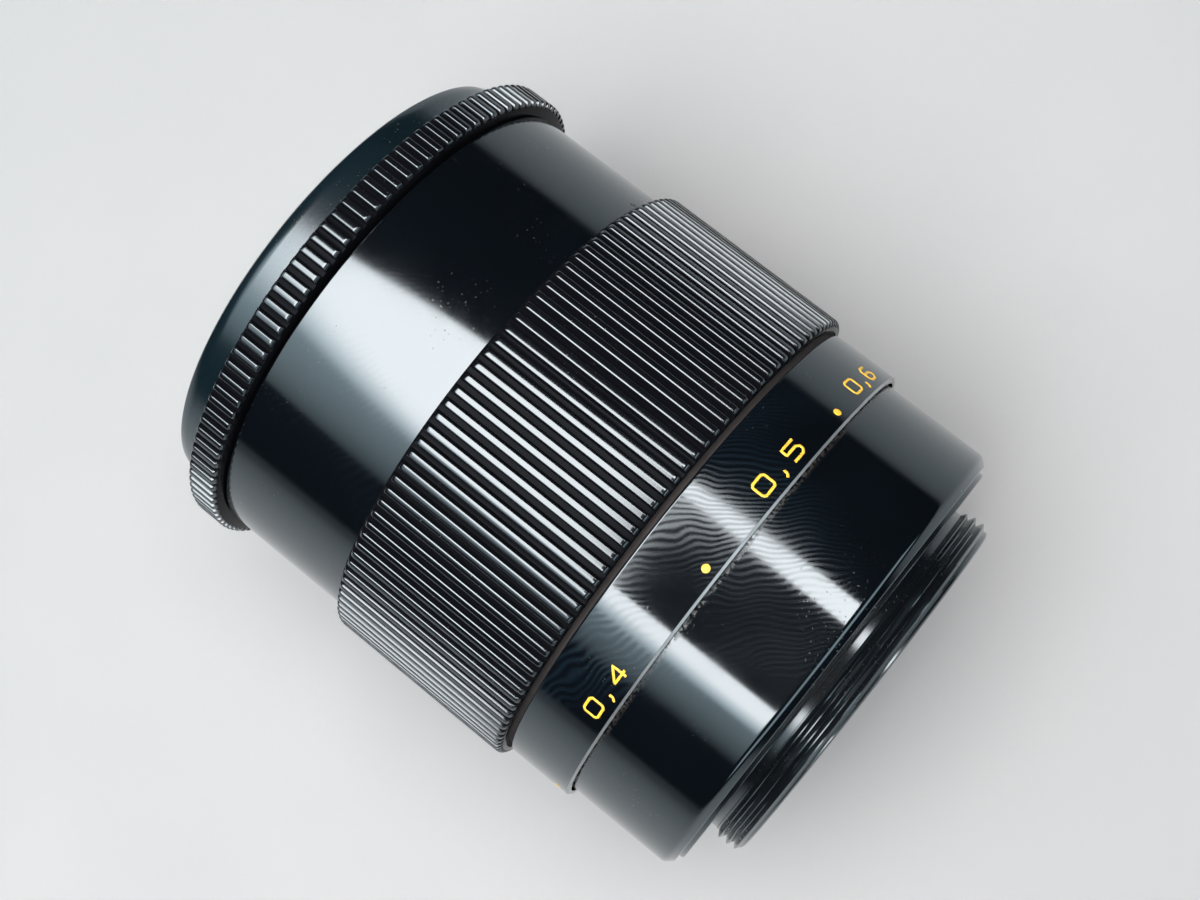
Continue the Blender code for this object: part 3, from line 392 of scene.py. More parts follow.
def fluted(name, radius, rear, front, bore, chamfer, lips, body, node):
    """Ring with rounded flutes that run out at a rounded edge at each end, behind a plain lip."""
    pitch = 360.0 / FLUTES
    angles = [pitch * (i + part - 0.25) for i in range(FLUTES) for part, _ in FLUTE]
    shares = {round(angle, 6): FLUTE[i % len(FLUTE)][1] for i, angle in enumerate(angles)}

    valley = radius - FLUTE_DEPTH
    crest_rear, crest_front = rear + lips[0], front - lips[1]

    def ring(crest):
        return lambda angle: crest - (crest - valley) * shares[round(angle, 6)]

    run_out = []
    for step in range(END_STEPS + 1):
        turn = pi / 2 * step / END_STEPS
        crest = valley + FLUTE_DEPTH * (END_SHARE + (1 - END_SHARE) * sin(turn))
        run_out.append((ring(crest), chamfer * (1 - cos(turn))))
    rows = [(bore, rear), (valley - 0.06 * MM, rear), (valley, rear + 0.04 * MM)]
    rows += [(crest, crest_rear + inset) for crest, inset in run_out]
    rows.append((ring(radius), crest_rear + chamfer + FLUTE_SUPPORT))
    rows.append((ring(radius), crest_front - chamfer - FLUTE_SUPPORT))
    rows += [(crest, crest_front - inset) for crest, inset in run_out[::-1]]
    rows += [(valley, front - 0.04 * MM), (valley - 0.06 * MM, front), (bore, front)]
    piece(name, rows_mesh(rows, angles), body, GRIP_SKIN, (node,), 40)


THREAD_LEAD = 0.5
FLANK = 1.25
LAND = 0.12


def thread_rows(radius, depth, rear, front, pitch, inward=False, steps_per_turn=10):
    """Rows of a helical thread between two heights. It fades out over half a pitch at both ends."""
    count = int(round((front - rear) / pitch * steps_per_turn))
    rows = []

    def row(z):
        fade = min(1.0, (z - rear) / (THREAD_LEAD * pitch), (front - z) / (THREAD_LEAD * pitch))

        def at(angle):
            phase = (z / pitch - angle / 360.0) % 1.0
            groove = min(1.0, max(0.0, abs(2 * phase - 1) * FLANK - LAND))
            cut = depth * (1 - (1 - groove) * max(0.0, fade))
            return radius + cut if inward else radius - cut

        return at

    for step in range(count + 1):
        z = rear + (front - rear) * step / count
        rows.append((row(z), z))
    return rows


# ---------------------------------------------------------------- fixed body

flange_radius = span("mount_thread_ring")[2]
thread_radius = 21.0 * MM
neck = 20.3 * MM
bore = 19.2 * MM
rear_end = -THREAD_AND_NECK
mount_front = 2.2 * MM
mount_rows = [(bore + 0.5 * MM, rear_end), (thread_radius - 0.9 * MM, rear_end)]
mount_rows += thread_rows(thread_radius, 0.62 * MM, rear_end + 0.15 * MM, -0.75 * MM, 1.0 * MM)
mount_rows += [
    (neck, -0.7 * MM),
    (neck, 0.3 * MM),
    (neck + 0.1 * MM, 0.35 * MM),
    (21.4 * MM, 0.35 * MM),
    (21.5 * MM, 0.3 * MM),
    (21.5 * MM, 0.05 * MM),
    (21.6 * MM, 0.0),
    (flange_radius - 0.25 * MM, 0.0),
    (flange_radius - 0.07 * MM, 0.07 * MM),
    (flange_radius, 0.25 * MM),
    (flange_radius, mount_front),
    (bore, mount_front),
]
for groove in range(9):
    z = mount_front - 0.5 * MM - groove * 0.62 * MM
    mount_rows += [(bore, z), (bore + 0.28 * MM, z - 0.26 * MM), (bore, z - 0.52 * MM)]
piece(
    "mount_ring_threaded", rows_mesh(mount_rows, even(240)), "fixed_barrel", MOUNT_SKIN,
    ("mount_thread_ring",), 28,
)

b_rear, b_front, b_radius = span("fixed_barrel")
lathe(
    "barrel_turned",
    [
        (flange_radius + 0.3 * MM, b_rear, 0.1 * MM),
        (b_radius - 0.75 * MM, b_rear, 0.25 * MM),
        (b_radius, b_rear + 0.85 * MM, 0.5 * MM),
        (b_radius, b_front, 0.2 * MM),
        (24.9 * MM, b_front),
        (24.9 * MM, b_front - 5.4 * MM),
        (25.7 * MM, b_front - 5.4 * MM),
        (25.7 * MM, mount_front),
        (flange_radius + 0.3 * MM, mount_front),
    ],
    "fixed_barrel", BARREL_SKIN, ("fixed_barrel",),
)

# ---------------------------------------------------------------- focusing body

s_rear, s_front, s_radius = span("distance_scale_ring")
lathe(
    "scale_ring_turned",
    [
        (b_radius + 0.35 * MM, s_rear, 0.05 * MM),
        (s_radius - 0.2 * MM, s_rear),
        (s_radius, s_rear + 0.27 * MM),
        (s_radius, s_rear + 0.4 * MM),
        (s_radius, s_front, 0.15 * MM),
        (b_radius + 0.35 * MM, s_front),
    ],
    "focusing_ring", SCALE_SKIN, ("distance_scale_ring",), 320,
)

# Bare metal ring at the scale ring's rear edge: worn metal, and also a painted highlight line.
lathe(
    "scale_ring_worn_edge_highlight",
    [
        (s_radius - 0.18 * MM, s_rear),
        (s_radius, s_rear + 0.24 * MM),
        (s_radius - 0.1 * MM, s_rear + 0.3 * MM),
        (s_radius - 0.28 * MM, s_rear + 0.1 * MM),
    ],
    "focusing_ring", EDGE_WEAR_AND_HIGHLIGHT_SKIN, (), 320,
)

g_rear, g_front, g_radius = span("focus_grip")
fluted(
    "grip_fluted", g_radius, g_rear, g_front, 27.45 * MM, 0.5 * MM, (0.06 * MM, 0.2 * MM),
    "focusing_ring", "focus_grip",
)
# Dark floor of the groove between the scale ring and the grip.
lathe(
    "grip_web",
    [
        (24.95 * MM, s_front + 0.08 * MM),
        (26.9 * MM, s_front + 0.08 * MM),
        (26.9 * MM, g_rear + 0.1 * MM),
        (27.6 * MM, g_rear + 0.1 * MM),
        (27.6 * MM, g_rear + 1.8 * MM),
        (24.95 * MM, g_rear + 1.8 * MM),
    ],
    "focusing_ring", MATT,
)

# ---------------------------------------------------------------- lens head

t_rear, t_front, t_radius = span("head_tube")
lathe(
    "head_tube_turned",
    [
        (26.3 * MM, t_rear),
        (t_radius, t_rear, 0.2 * MM),
        (t_radius, t_front, 0.12 * MM),
        (26.3 * MM, t_front),
    ],
    "lens_head", TUBE_SKIN, ("head_tube",), 320,
)

a_rear, a_front, a_radius = span("aperture_ring")
fluted(
    "aperture_ring_fluted", a_radius, a_rear, a_front, 25.3 * MM, 0.3 * MM, (0.06 * MM, 0.06 * MM),
    "aperture_control", "aperture_ring",
)

_, r_front, r_radius = span("front_rim")
r_rear = a_front + 0.3 * MM
filter_rear = r_front - 3.0 * MM
rim_rows = [
    (25.0 * MM, 47.75 * MM),
    (25.0 * MM, r_rear),
    (r_radius - 0.12 * MM, r_rear),
    (r_radius, r_rear + 0.12 * MM),
    (r_radius, r_rear + 0.2 * MM),
    (r_radius, r_front - 1.3 * MM),
    (r_radius, r_front - 1.1 * MM),
    (r_radius - 0.06 * MM, r_front - 0.6 * MM),
    (r_radius - 0.2 * MM, r_front - 0.22 * MM),
    (r_radius - 0.42 * MM, r_front - 0.05 * MM),
    (r_radius - 0.65 * MM, r_front),
    (24.95 * MM, r_front),
    (24.8 * MM, r_front - 0.1 * MM),
]
filter_rows = thread_rows(
    24.3 * MM, 0.4 * MM, filter_rear + 0.35 * MM, r_front - 0.25 * MM, 0.75 * MM, True, 8
)
rim_rows += filter_rows[::-1]
rim_rows += [(24.75 * MM, filter_rear + 0.25 * MM), (24.75 * MM, filter_rear), (24.2 * MM, filter_rear)]
rim_rows += [(24.2 * MM, 47.75 * MM)]
piece(
    "front_rim_threaded", rows_mesh(rim_rows, even(240)), "lens_head", RIM_SKIN,
    ("front_rim",), 28,
)

# Cone baffle with fine steps, which runs from the filter thread down to the front glass.
c_rear, c_front, c_radius = span("baffle_cone")
cone_narrow = 14.2 * MM
cone_steps = 22
cone = [(c_radius, c_front, 0.1 * MM)]
for step in range(cone_steps):
    t = step / cone_steps
    z = c_front - t * (c_front - c_rear)
    radius = c_radius - 0.75 * MM - t * (c_radius - 0.75 * MM - cone_narrow)
    cone += [(radius, z), (radius, z - 0.6 * (c_front - c_rear) / cone_steps)]
cone += [(cone_narrow, c_rear), (cone_narrow + 0.75 * MM, c_rear), (c_radius, c_front - 0.8 * MM)]
lathe("baffle_cone_stepped", cone, "lens_head", MATT, ("baffle_cone",), 200, 25)

_, n_front, n_radius = span("front_name_ring")
glass_edge = span("front_lens")[0] + 1.4 * MM
name_ring = [
    (10.15 * MM, n_front - 1.1 * MM, 0.05 * MM),
    (10.6 * MM, glass_edge + 0.75 * MM),
    (10.8 * MM, glass_edge + 0.45 * MM),
    (10.8 * MM, n_front - 1.3 * MM),
    (n_radius, n_front - 1.3 * MM),
    (n_radius, n_front, 0.15 * MM),
]
for groove in range(5):
    radius = 15.6 * MM - groove * 0.75 * MM
    name_ring += [(radius, n_front), (radius - 0.3 * MM, n_front - 0.22 * MM), (radius - 0.6 * MM, n_front)]
name_ring += [(11.5 * MM, n_front, 0.1 * MM)]
lathe("front_ring_bare", name_ring, "lens_head", SATIN, ("front_name_ring",), 200, 25)


def sag(curve, radius):
    """Depth of a spherical face at a radius."""
    return curve - sqrt(curve * curve - radius * radius)


GLASS_STEPS = 18


def face_rows(radius, curve, rim):
    """Rows of a spherical face from the axis to its edge. A positive curve bulges forwards."""
    rows = []
    for step in range(GLASS_STEPS + 1):
        reach = radius * step / GLASS_STEPS
        rise = sag(abs(curve), radius) - sag(abs(curve), reach)
        rows.append((reach, rim + (rise if curve > 0 else -rise)))
    return rows


def element(name, node, radius, rear_curve, front_curve, rear_rim, front_rim, skin):
    """Lens with two fine spherical faces. The rims are the heights of the faces at their edge."""
    rows = face_rows(radius, rear_curve, rear_rim) + face_rows(radius, front_curve, front_rim)[::-1]
    piece(name, rows_mesh(rows, even(128)), "lens_head", skin, (node,), 30)


front_rear = span("front_lens")[0]
element(
    "front_element", "front_lens", 10.8 * MM, -250 * MM, 20 * MM, front_rear + 0.23 * MM,
    glass_edge + 0.23 * MM, FRONT_GLASS,
)
m_front = span("middle_lens")[1]
element(
    "middle_element", "middle_lens", 9.5 * MM, 22 * MM, -60 * MM, m_front - 3.4 * MM, m_front,
    INNER_GLASS,
)
rf_front = span("rear_lens_front")[1]
PAIR_RADIUS = 9.3 * MM
CEMENT_CURVE = 30 * MM
cement_rim = rf_front - sag(90 * MM, PAIR_RADIUS) - 1.0 * MM - sag(CEMENT_CURVE, PAIR_RADIUS)
element(
    "rear_pair_front", "rear_lens_front", PAIR_RADIUS, CEMENT_CURVE, -90 * MM, cement_rim, rf_front,
    INNER_GLASS,
)
element(
    "rear_pair_back", "rear_lens_back", PAIR_RADIUS, -27 * MM, CEMENT_CURVE, rf_front - 3.8 * MM,
    cement_rim - 0.1 * MM, FRONT_GLASS,
)

f_rear, f_front, f_radius = span("front_cell")
spacer_rear = span("lens_spacer")[0] - 0.3 * MM
lathe(
    "front_cell_turned",
    [
        (8.38 * MM, f_rear),
        (f_radius, f_rear),
        (f_radius, f_front),
        (11.1 * MM, f_front),
        (11.1 * MM, spacer_rear),
        (9.8 * MM, spacer_rear),
        (9.8 * MM, f_rear + 1.0 * MM),
        (8.38 * MM, f_rear + 1.0 * MM),
    ],
    "lens_head", SATIN, ("front_cell",), 160,
)
k_rear, k_front, k_radius = span("rear_cell")
lathe(
    "rear_cell_turned",
    [
        (8.0 * MM, k_rear, 0.05 * MM),
        (8.9 * MM, k_rear),
        (9.6 * MM, k_rear),
        (k_radius, k_rear, 0.1 * MM),
        (k_radius, k_front),
        (9.6 * MM, k_front),
        (9.6 * MM, k_rear + 1.0 * MM),
        (8.4 * MM, k_rear + 1.0 * MM),
    ],
    "lens_head", SATIN, ("rear_cell",), 160,
)

# ---------------------------------------------------------------- iris blades

STOP_FULL = 8.5 * MM
BLADE_OUTER = 13.3 * MM
PIVOT = 14.4 * MM
REST_STOP = 5.67 * MM
REST_TURN = degrees(2 * asin((STOP_FULL - REST_STOP) / (2 * PIVOT)))
BLADE_REAR = 22.2 * MM
BLADE_LAYER = 0.5 * MM
BLADE_THICK = 0.2 * MM
BLADE_REACH = 140
RIVET_GAP = 3.0 * MM
RIVET_RADIUS = 0.45 * MM


def arc(centre, radius, start, end, steps):
    """Points of an arc from one angle to another, both ends included."""
    turns = [radians(start + (end - start) * i / steps) for i in range(steps + 1)]
    return [centre + Vector((radius * cos(turn), radius * sin(turn))) for turn in turns]


def blade_outline():
    """Crescent about its own pivot, as it stands when the iris is open."""
    axis = Vector((-PIVOT, 0.0))
    half = (BLADE_OUTER - STOP_FULL) / 2
    end = radians(BLADE_REACH)
    tail = axis + Vector((cos(end), sin(end))) * (STOP_FULL + half)
    outline = arc(axis, STOP_FULL, -6, BLADE_REACH, 60)
    outline += arc(tail, half, BLADE_REACH + 180, BLADE_REACH, 16)[1:-1]
    outline += arc(axis, BLADE_OUTER, BLADE_REACH, 6, 60)
    outline += arc(Vector((0.0, 0.0)), 1.1 * MM, 90, 0, 8)
    outline += arc(Vector((0.0, -RIVET_GAP)), 0.9 * MM, 0, -180, 12)
    return outline


def prism(mesh, low, high):
    """Closes two equal loops of vertices into a solid."""
    mesh.faces.new(low)
    mesh.faces.new(high[::-1])
    for i in range(len(low)):
        j = (i + 1) % len(low)
        mesh.faces.new([low[i], low[j], high[j], high[i]])


def blade(number):
    """Thin blade with its two rivets, in the place and layer of its CAD node."""
    node = f"iris_blade_{number}"
    rear, front, _ = span(node)
    layer = BLADE_REAR + (number - 1) * BLADE_LAYER
    place = 60.0 * (number - 1)
    pivot = Vector((cos(radians(place)), sin(radians(place)))) * PIVOT
    turn = Matrix.Rotation(radians(place + REST_TURN), 2)

    def world(flat, z):
        spot = pivot + turn @ flat
        return Vector((spot.x, FLANGE_Y - z, AXIS_Z + spot.y))

    mesh = bmesh.new()
    for outline, start, end in (
        (blade_outline(), layer, layer + BLADE_THICK),
        (arc(Vector((0.0, 0.0)), RIVET_RADIUS, 0, 350, 20), rear, layer + 0.3 * MM),
        (arc(Vector((0.0, -RIVET_GAP)), RIVET_RADIUS, 0, 350, 20), layer - 0.1 * MM, front),
    ):
        low = [mesh.verts.new(world(flat, start)) for flat in outline]
        high = [mesh.verts.new(world(flat, end)) for flat in outline]
        prism(mesh, low, high)
    piece(f"iris_leaf_{number}", mesh, f"blade_{number}", BLADE_STEEL, (node,), 30)


for leaf in range(1, 7):
    blade(leaf)

# ---------------------------------------------------------------- scale marks

# Strokes of each sign in a box one unit wide and high, squared with rounded corners.
SIGNS = {
    "0": [[(0, 0.14), (0, 0.86), (0.14, 1), (0.86, 1), (1, 0.86), (1, 0.14), (0.86, 0), (0.14, 0),
           (0, 0.14)]],
    "1": [[(0.3, 0.8), (0.6, 1), (0.6, 0)]],
    "2": [[(0, 0.85), (0.15, 1), (0.85, 1), (1, 0.85), (1, 0.65), (0.85, 0.5), (0.1, 0.35), (0, 0.2),
           (0, 0), (1, 0)]],
    "3": [[(0, 1), (0.85, 1), (1, 0.85), (1, 0.65), (0.85, 0.52), (0.4, 0.52)],
          [(0.85, 0.52), (1, 0.4), (1, 0.15), (0.85, 0), (0, 0)]],
    "4": [[(0.75, 0), (0.75, 1), (0, 0.35), (0, 0.28), (1, 0.28)]],
    "5": [[(1, 1), (0, 1), (0, 0.58), (0.8, 0.58), (1, 0.42), (1, 0.18), (0.8, 0), (0, 0)]],
    "6": [[(0.85, 1), (0.2, 1), (0, 0.8), (0, 0.2), (0.2, 0), (0.8, 0), (1, 0.2), (1, 0.38),
           (0.8, 0.55), (0, 0.55)]],
    "8": [[(0.2, 0.53), (0.05, 0.68), (0.05, 0.88), (0.2, 1), (0.8, 1), (0.95, 0.88), (0.95, 0.68),
           (0.8, 0.53), (0.2, 0.53), (0, 0.38), (0, 0.15), (0.2, 0), (0.8, 0), (1, 0.15), (1, 0.38),
           (0.8, 0.53)]],
    ",": [[(0.46, 0.12), (0.56, 0.1), (0.52, -0.1), (0.36, -0.26)]],
    "oo": [[(0.5, 0.5), (0.3, 0.72), (0.12, 0.72), (0, 0.6), (0, 0.4), (0.12, 0.28), (0.3, 0.28), (0.5, 0.5),
            (0.7, 0.72), (0.88, 0.72), (1, 0.6), (1, 0.4), (0.88, 0.28), (0.7, 0.28), (0.5, 0.5)]],
}


def painted_strokes(name, strokes, body, thickness):
    """Strokes of paint through world places, each a rounded bead sunk into the surface."""
    curve = bpy.data.curves.new(name, "CURVE")
    curve.dimensions = "3D"
    curve.bevel_depth = thickness / 2
    curve.bevel_resolution = 3
    curve.use_fill_caps = True
    for stroke in strokes:
        spline = curve.splines.new("POLY")
        spline.points.add(len(stroke) - 1)
        for spot, place in zip(spline.points, stroke):
            spot.co = (*place, 1.0)
    curve.materials.append(PAINT)
    made = bpy.data.objects.new(name, curve)
    bpy.context.scene.collection.objects.link(made)
    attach(made, body)


STROKE_STEPS = 4
BEAD_SUNK = 0.3


def wrap_sign(sign, angle, base, radius, width, height, thickness):
    """Strokes of one sign on a cylinder. It is centred on an angle and reads with its top to the
    front."""

    def place(x, y):
        turn = angle + degrees((x - 0.5) * width / radius)
        return point(radius - BEAD_SUNK * thickness, turn, base + y * height)

    strokes = []
    for stroke in SIGNS[sign]:
        places = []
        for (x0, y0), (x1, y1) in zip(stroke, stroke[1:]):
            for step in range(STROKE_STEPS):
                t = step / STROKE_STEPS
                places.append(place(x0 + (x1 - x0) * t, y0 + (y1 - y0) * t))
        places.append(place(*stroke[-1]))
        strokes.append(places)
    return strokes


def label(
    name, signs, angle, base, radius, body,
    pitch=4.95, width=1.75 * MM, height=1.62 * MM, thickness=0.37 * MM,
):
    """A number made of signs, centred on an angle. The pitch is the turn from one sign to the next,
    where a comma counts as a sign."""
    strokes = []
    first = angle - pitch * (len(signs) - 1) / 2
    for i, sign in enumerate(signs):
        strokes += wrap_sign(sign, first + pitch * i, base, radius, width, height, thickness)
    painted_strokes(name, strokes, body, thickness)


DOT_DOME = 0.22


def dot(name, angle, z, radius, size, body):
    """Round spot of paint, slightly domed, set in the surface."""
    mesh = bmesh.new()
    centre = point(radius - 0.06 * MM, angle, z)
    bmesh.ops.create_uvsphere(mesh, u_segments=24, v_segments=12, radius=size / 2)
    flat = Matrix.Diagonal((DOT_DOME, 1.0, 1.0, 1.0))
    turn = Matrix.Rotation(-radians(angle), 4, "Y")
    bmesh.ops.transform(mesh, verts=mesh.verts, matrix=Matrix.Translation(centre) @ turn @ flat)
    piece(name, mesh, body, PAINT, (), 60)


# The distance scale. Angles are from the top, growing towards -X, lengths in millimetres and the
# rate in degrees for each millimetre of extension.
TOP = 90
FOCAL = 52.4
SCALE_ZERO = 182.9
SCALE_RATE = 22.5


def scale_angle(distance):
    """Angle of a focusing distance in metres, from the lens's extension at that distance."""
    ratio = distance * 1000 / FOCAL - 2
    extension = FOCAL * (ratio - sqrt(ratio * ratio - 4)) / 2
    return SCALE_ZERO - SCALE_RATE * extension


DIGIT_BASE = s_rear + 1.2 * MM
DISTANCES = ("0,3", "0,4", "0,5", "0,6", "0,8", "1", "1,5", "3")
NUDGES = {"0,6": 3.1, "0,4": 0.5, "0,5": 0.4, "0,3": 2.0, "0,8": 2.5, "3": -1.0, "1,5": -0.5}
for text in DISTANCES:
    angle = TOP + scale_angle(float(text.replace(",", "."))) + NUDGES.get(text, 0.0)
    label("distance_" + text.replace(",", "_"), list(text), angle, DIGIT_BASE, s_radius, "focusing_ring")
label("distance_far", ["oo"], TOP + SCALE_ZERO, DIGIT_BASE, s_radius, "focusing_ring", width=3.0 * MM)
for name, distance, nudge in (("dot_0_35", 0.35, 3.8), ("dot_0_45", 0.45, 0.0), ("dot_0_55", 0.55, 1.9)):
    turn = TOP + scale_angle(distance) + nudge
    dot(name, turn, s_rear + 1.35 * MM, s_radius, 1.0 * MM, "focusing_ring")

INDEX = TOP + 199.6
LINE_STEP = 0.4 * MM


def barrel_line(name, angle, steps, thickness):
    """Straight painted line on the barrel, from just behind the scale ring to the rear."""
    places = [point(b_radius - 0.09 * MM, angle, s_rear - (step + 1) * LINE_STEP) for step in range(steps)]
    painted_strokes(name, [places], "fixed_barrel", thickness)


barrel_line("index_line", INDEX, 9, 0.32 * MM)
for number, offset in enumerate((-15, -9, 9, 15)):
    barrel_line(f"depth_tick_{number}", INDEX + offset, 5, 0.22 * MM)

APERTURE_INDEX = TOP + 180
STOP_BASE = t_front - 2.6 * MM
STOPS = (("2,8", 0.0), ("4", 20.0), ("5,6", 30.0), ("8", 38.0), ("11", 44.0), ("16", 50.0))
for text, turn in STOPS:
    label(
        "stop_" + text.replace(",", "_"), list(text), APERTURE_INDEX - 25 + turn, STOP_BASE, t_radius,
        "lens_head", pitch=1.7, width=0.75 * MM, height=1.3 * MM, thickness=0.2 * MM,
    )
dot(
    "stop_index", APERTURE_INDEX - 5.2, a_rear + 1.75 * MM, a_radius - 0.05 * MM, 0.9 * MM,
    "aperture_control",
)

# ---------------------------------------------------------------- screws


SCREW_SIDES = 48
SCREW_DEPTH = 0.6 * MM
SCREW_CHAMFER = 0.08 * MM


def screw(name, centre, out, radius, body, node, slot_width, slot_depth):
    """Round slotted screw, with its head's face at the centre and looking out."""
    mesh = bmesh.new()
    across = out.orthogonal().normalized()
    side = out.cross(across)
    turns = [tau * i / SCREW_SIDES for i in range(SCREW_SIDES)]
    rays = [across * cos(turn) + side * sin(turn) for turn in turns]
    rings = []
    for reach, height in ((radius, -SCREW_DEPTH), (radius, -SCREW_CHAMFER), (radius - SCREW_CHAMFER, 0.0)):
        rings.append([mesh.verts.new(centre + out * height + ray * reach) for ray in rays])
    mesh.faces.new(rings[0][::-1])
    mesh.faces.new(rings[-1])
    for low, high in zip(rings, rings[1:]):
        for i in range(SCREW_SIDES):
            j = (i + 1) % SCREW_SIDES
            mesh.faces.new([low[i], low[j], high[j], high[i]])
    made = piece(name, mesh, body, STEEL, (node,), 30)
    cutter_mesh = bmesh.new()
    bmesh.ops.create_cube(cutter_mesh, size=1.0)
    axes = Matrix((across, side, out)).transposed().to_4x4()
    size = Matrix.Diagonal((4 * radius, slot_width, 2 * slot_depth, 1.0))
    bmesh.ops.transform(cutter_mesh, verts=cutter_mesh.verts, matrix=Matrix.Translation(centre) @ axes @ size)
    data = bpy.data.meshes.new(name + "_cut")
    cutter_mesh.to_mesh(data)
    cutter_mesh.free()
    cutter = bpy.data.objects.new(name + "_cut", data)
    bpy.context.scene.collection.objects.link(cutter)
    boolean = made.modifiers.new("slot", "BOOLEAN")
    boolean.operation = "DIFFERENCE"
    boolean.object = cutter
    bpy.context.view_layer.update()
    result = bpy.data.meshes.new_from_object(made.evaluated_get(bpy.context.evaluated_depsgraph_get()))
    made.modifiers.remove(boolean)
    made.data = result
    bpy.data.objects.remove(cutter)


key_low, key_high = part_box("guide_key_screw")
key_spot = (key_low + key_high) / 2
key_spot.y = key_high.y
screw(
    "key_screw_slotted", key_spot, Vector((0, 1, 0)), 1.4 * MM, "fixed_barrel", "guide_key_screw",
    0.35 * MM, 0.3 * MM,
)
for number, angle in ((1, 152.0), (2, 332.0)):
    low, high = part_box(f"tube_grub_screw_{number}")
    z = FLANGE_Y - (low.y + high.y) / 2
    out = point(1.0, angle, 0.0) - point(0.0, 0.0, 0.0)
    screw(
        f"tube_screw_{number}", point(t_radius + 0.01 * MM, angle, z), out.normalized(), 0.42 * MM,
        "lens_head", f"tube_grub_screw_{number}", 0.16 * MM, 0.2 * MM,
    )

# ---------------------------------------------------------------- carried-over solids

CARRIED = {
    "focus_retainer_ring": BRASS,
    "focus_guide_key": BRASS,
    "focus_helicoid_nut": BRASS,
    "focus_lock_ring": BRASS,
    "head_helicoid": SATIN,
    "block_barrel": SATIN,
    "block_retainer_ring": BRASS,
    "lens_spacer": MATT,
    "iris_base_plate": MATT,
    "rear_lens_retainer": MATT,
    "aperture_drive_sleeve": SATIN,
    "aperture_drive_arm": BRASS,
    "iris_cam_plate": MATT,
}
for node, skin in CARRIED.items():
    carried = frame["nodes"][node]
    carried.data.materials.clear()
    carried.data.materials.append(skin)

# ---------------------------------------------------------------- table, light and camera


def plane(name, corners, skin):
    """Flat stage piece between its corners."""
    mesh = bmesh.new()
    mesh.faces.new([mesh.verts.new(corner) for corner in corners])
    data = bpy.data.meshes.new(name)
    mesh.to_mesh(data)
    mesh.free()
    made = bpy.data.objects.new(name, data)
    bpy.context.scene.collection.objects.link(made)
    data.materials.append(skin)
    return made


# Lit and shaded tones of the table's painted shade gradient, and the dark painted shade far towards +X.
TABLE_SHADED_TONE = (0.276, 0.326, 0.343)
TABLE_LIT_TONE = (0.281, 0.33, 0.347)
TABLE_PAINTED_SHADE = (0.05, 0.055, 0.06)
BACKDROP = (0.95, 0.98, 1.0, 1.0)
BACKDROP_GLOW = 0.66


def table_skin():
    """Pale table with a faint painted shade gradient across it, and painted shade that darkens it towards +X,
    outside the picture.
    """
    n = Nodes("table_top")
    axes = n.axes()
    # Painted shade: the colour fades from the lit tone to the shaded tone along this direction, with random
    # mottle.
    along = n.math("SUBTRACT", n.math("MULTIPLY", axes["Y"], 0.8), n.math("MULTIPLY", axes["X"], 0.6))
    mottle = n.remap(n.noise(30, 3, 0.6), 0.3, 0.7, 0.0, 0.1)
    shade = n.math("ADD", n.remap(along, -0.07, 0.09, 0.0, 0.9), mottle)
    painted_falloff_tone = n.mix(shade, TABLE_LIT_TONE, TABLE_SHADED_TONE)
    # Painted shade: far towards +X the table turns much darker.
    far_painted_shade = n.remap(axes["X"], 0.11, 0.4, 0.0, 0.8)
    n.link(n.mix(far_painted_shade, painted_falloff_tone, TABLE_PAINTED_SHADE), n.shader.inputs["Base Color"])
    n.link(n.remap(n.noise(40, 4, 0.6), 0.3, 0.7, 0.55, 0.65), n.shader.inputs["Roughness"])
    n.bump(n.noise(900, 4, 0.7), 0.12, 0.05 * MM)
    # Far from the lens the table is out of the light, so there it gets a painted glow that only the camera
    # sees, which makes it a pale backdrop.
    seen = n.add("ShaderNodeLightPath").outputs["Is Camera Ray"]
    distance = n.add("ShaderNodeVectorMath", operation="LENGTH")
    n.link(n.coords, distance.inputs[0])
    glow = n.remap(distance.outputs["Value"], 0.3, 1.3, 0.0, BACKDROP_GLOW)
    n.link(n.math("MULTIPLY", glow, seen), n.shader.inputs["Emission Strength"])
    n.shader.inputs["Emission Color"].default_value = BACKDROP
    return n.material


TABLE_REACH = 6.0
table_corners = [(TABLE_REACH * x, TABLE_REACH * y, 0) for x, y in ((-1, -1), (1, -1), (1, 1), (-1, 1))]
plane("table", table_corners, table_skin())


def glow(n):
    """Makes the material a lamp and hands back the emission's inputs."""
    n.tree.nodes.remove(n.shader)
    emission = n.add("ShaderNodeEmission")
    n.link(emission.outputs[0], n.tree.nodes["Material Output"].inputs["Surface"])
    return emission.inputs


# The bright core of the light: its centre and half widths in metres, the share of its radius at
# which it starts and stops fading, and its share of the brightness beside the weaker tail's.
CORE_X = 0.08
CORE_HALF_X = 0.66
CORE_HALF_Y = 0.385
CORE_FADE = (0.86, 1.14)
CORE_SHARE = 0.78
TAIL_SHARE = 0.27
WARM_CORE = (1.24, 1.02, 0.96)
COOL_TAIL = (0.9, 0.97, 1.0)
CARD_BLUE = (0.85, 0.95, 1.0, 1.0)


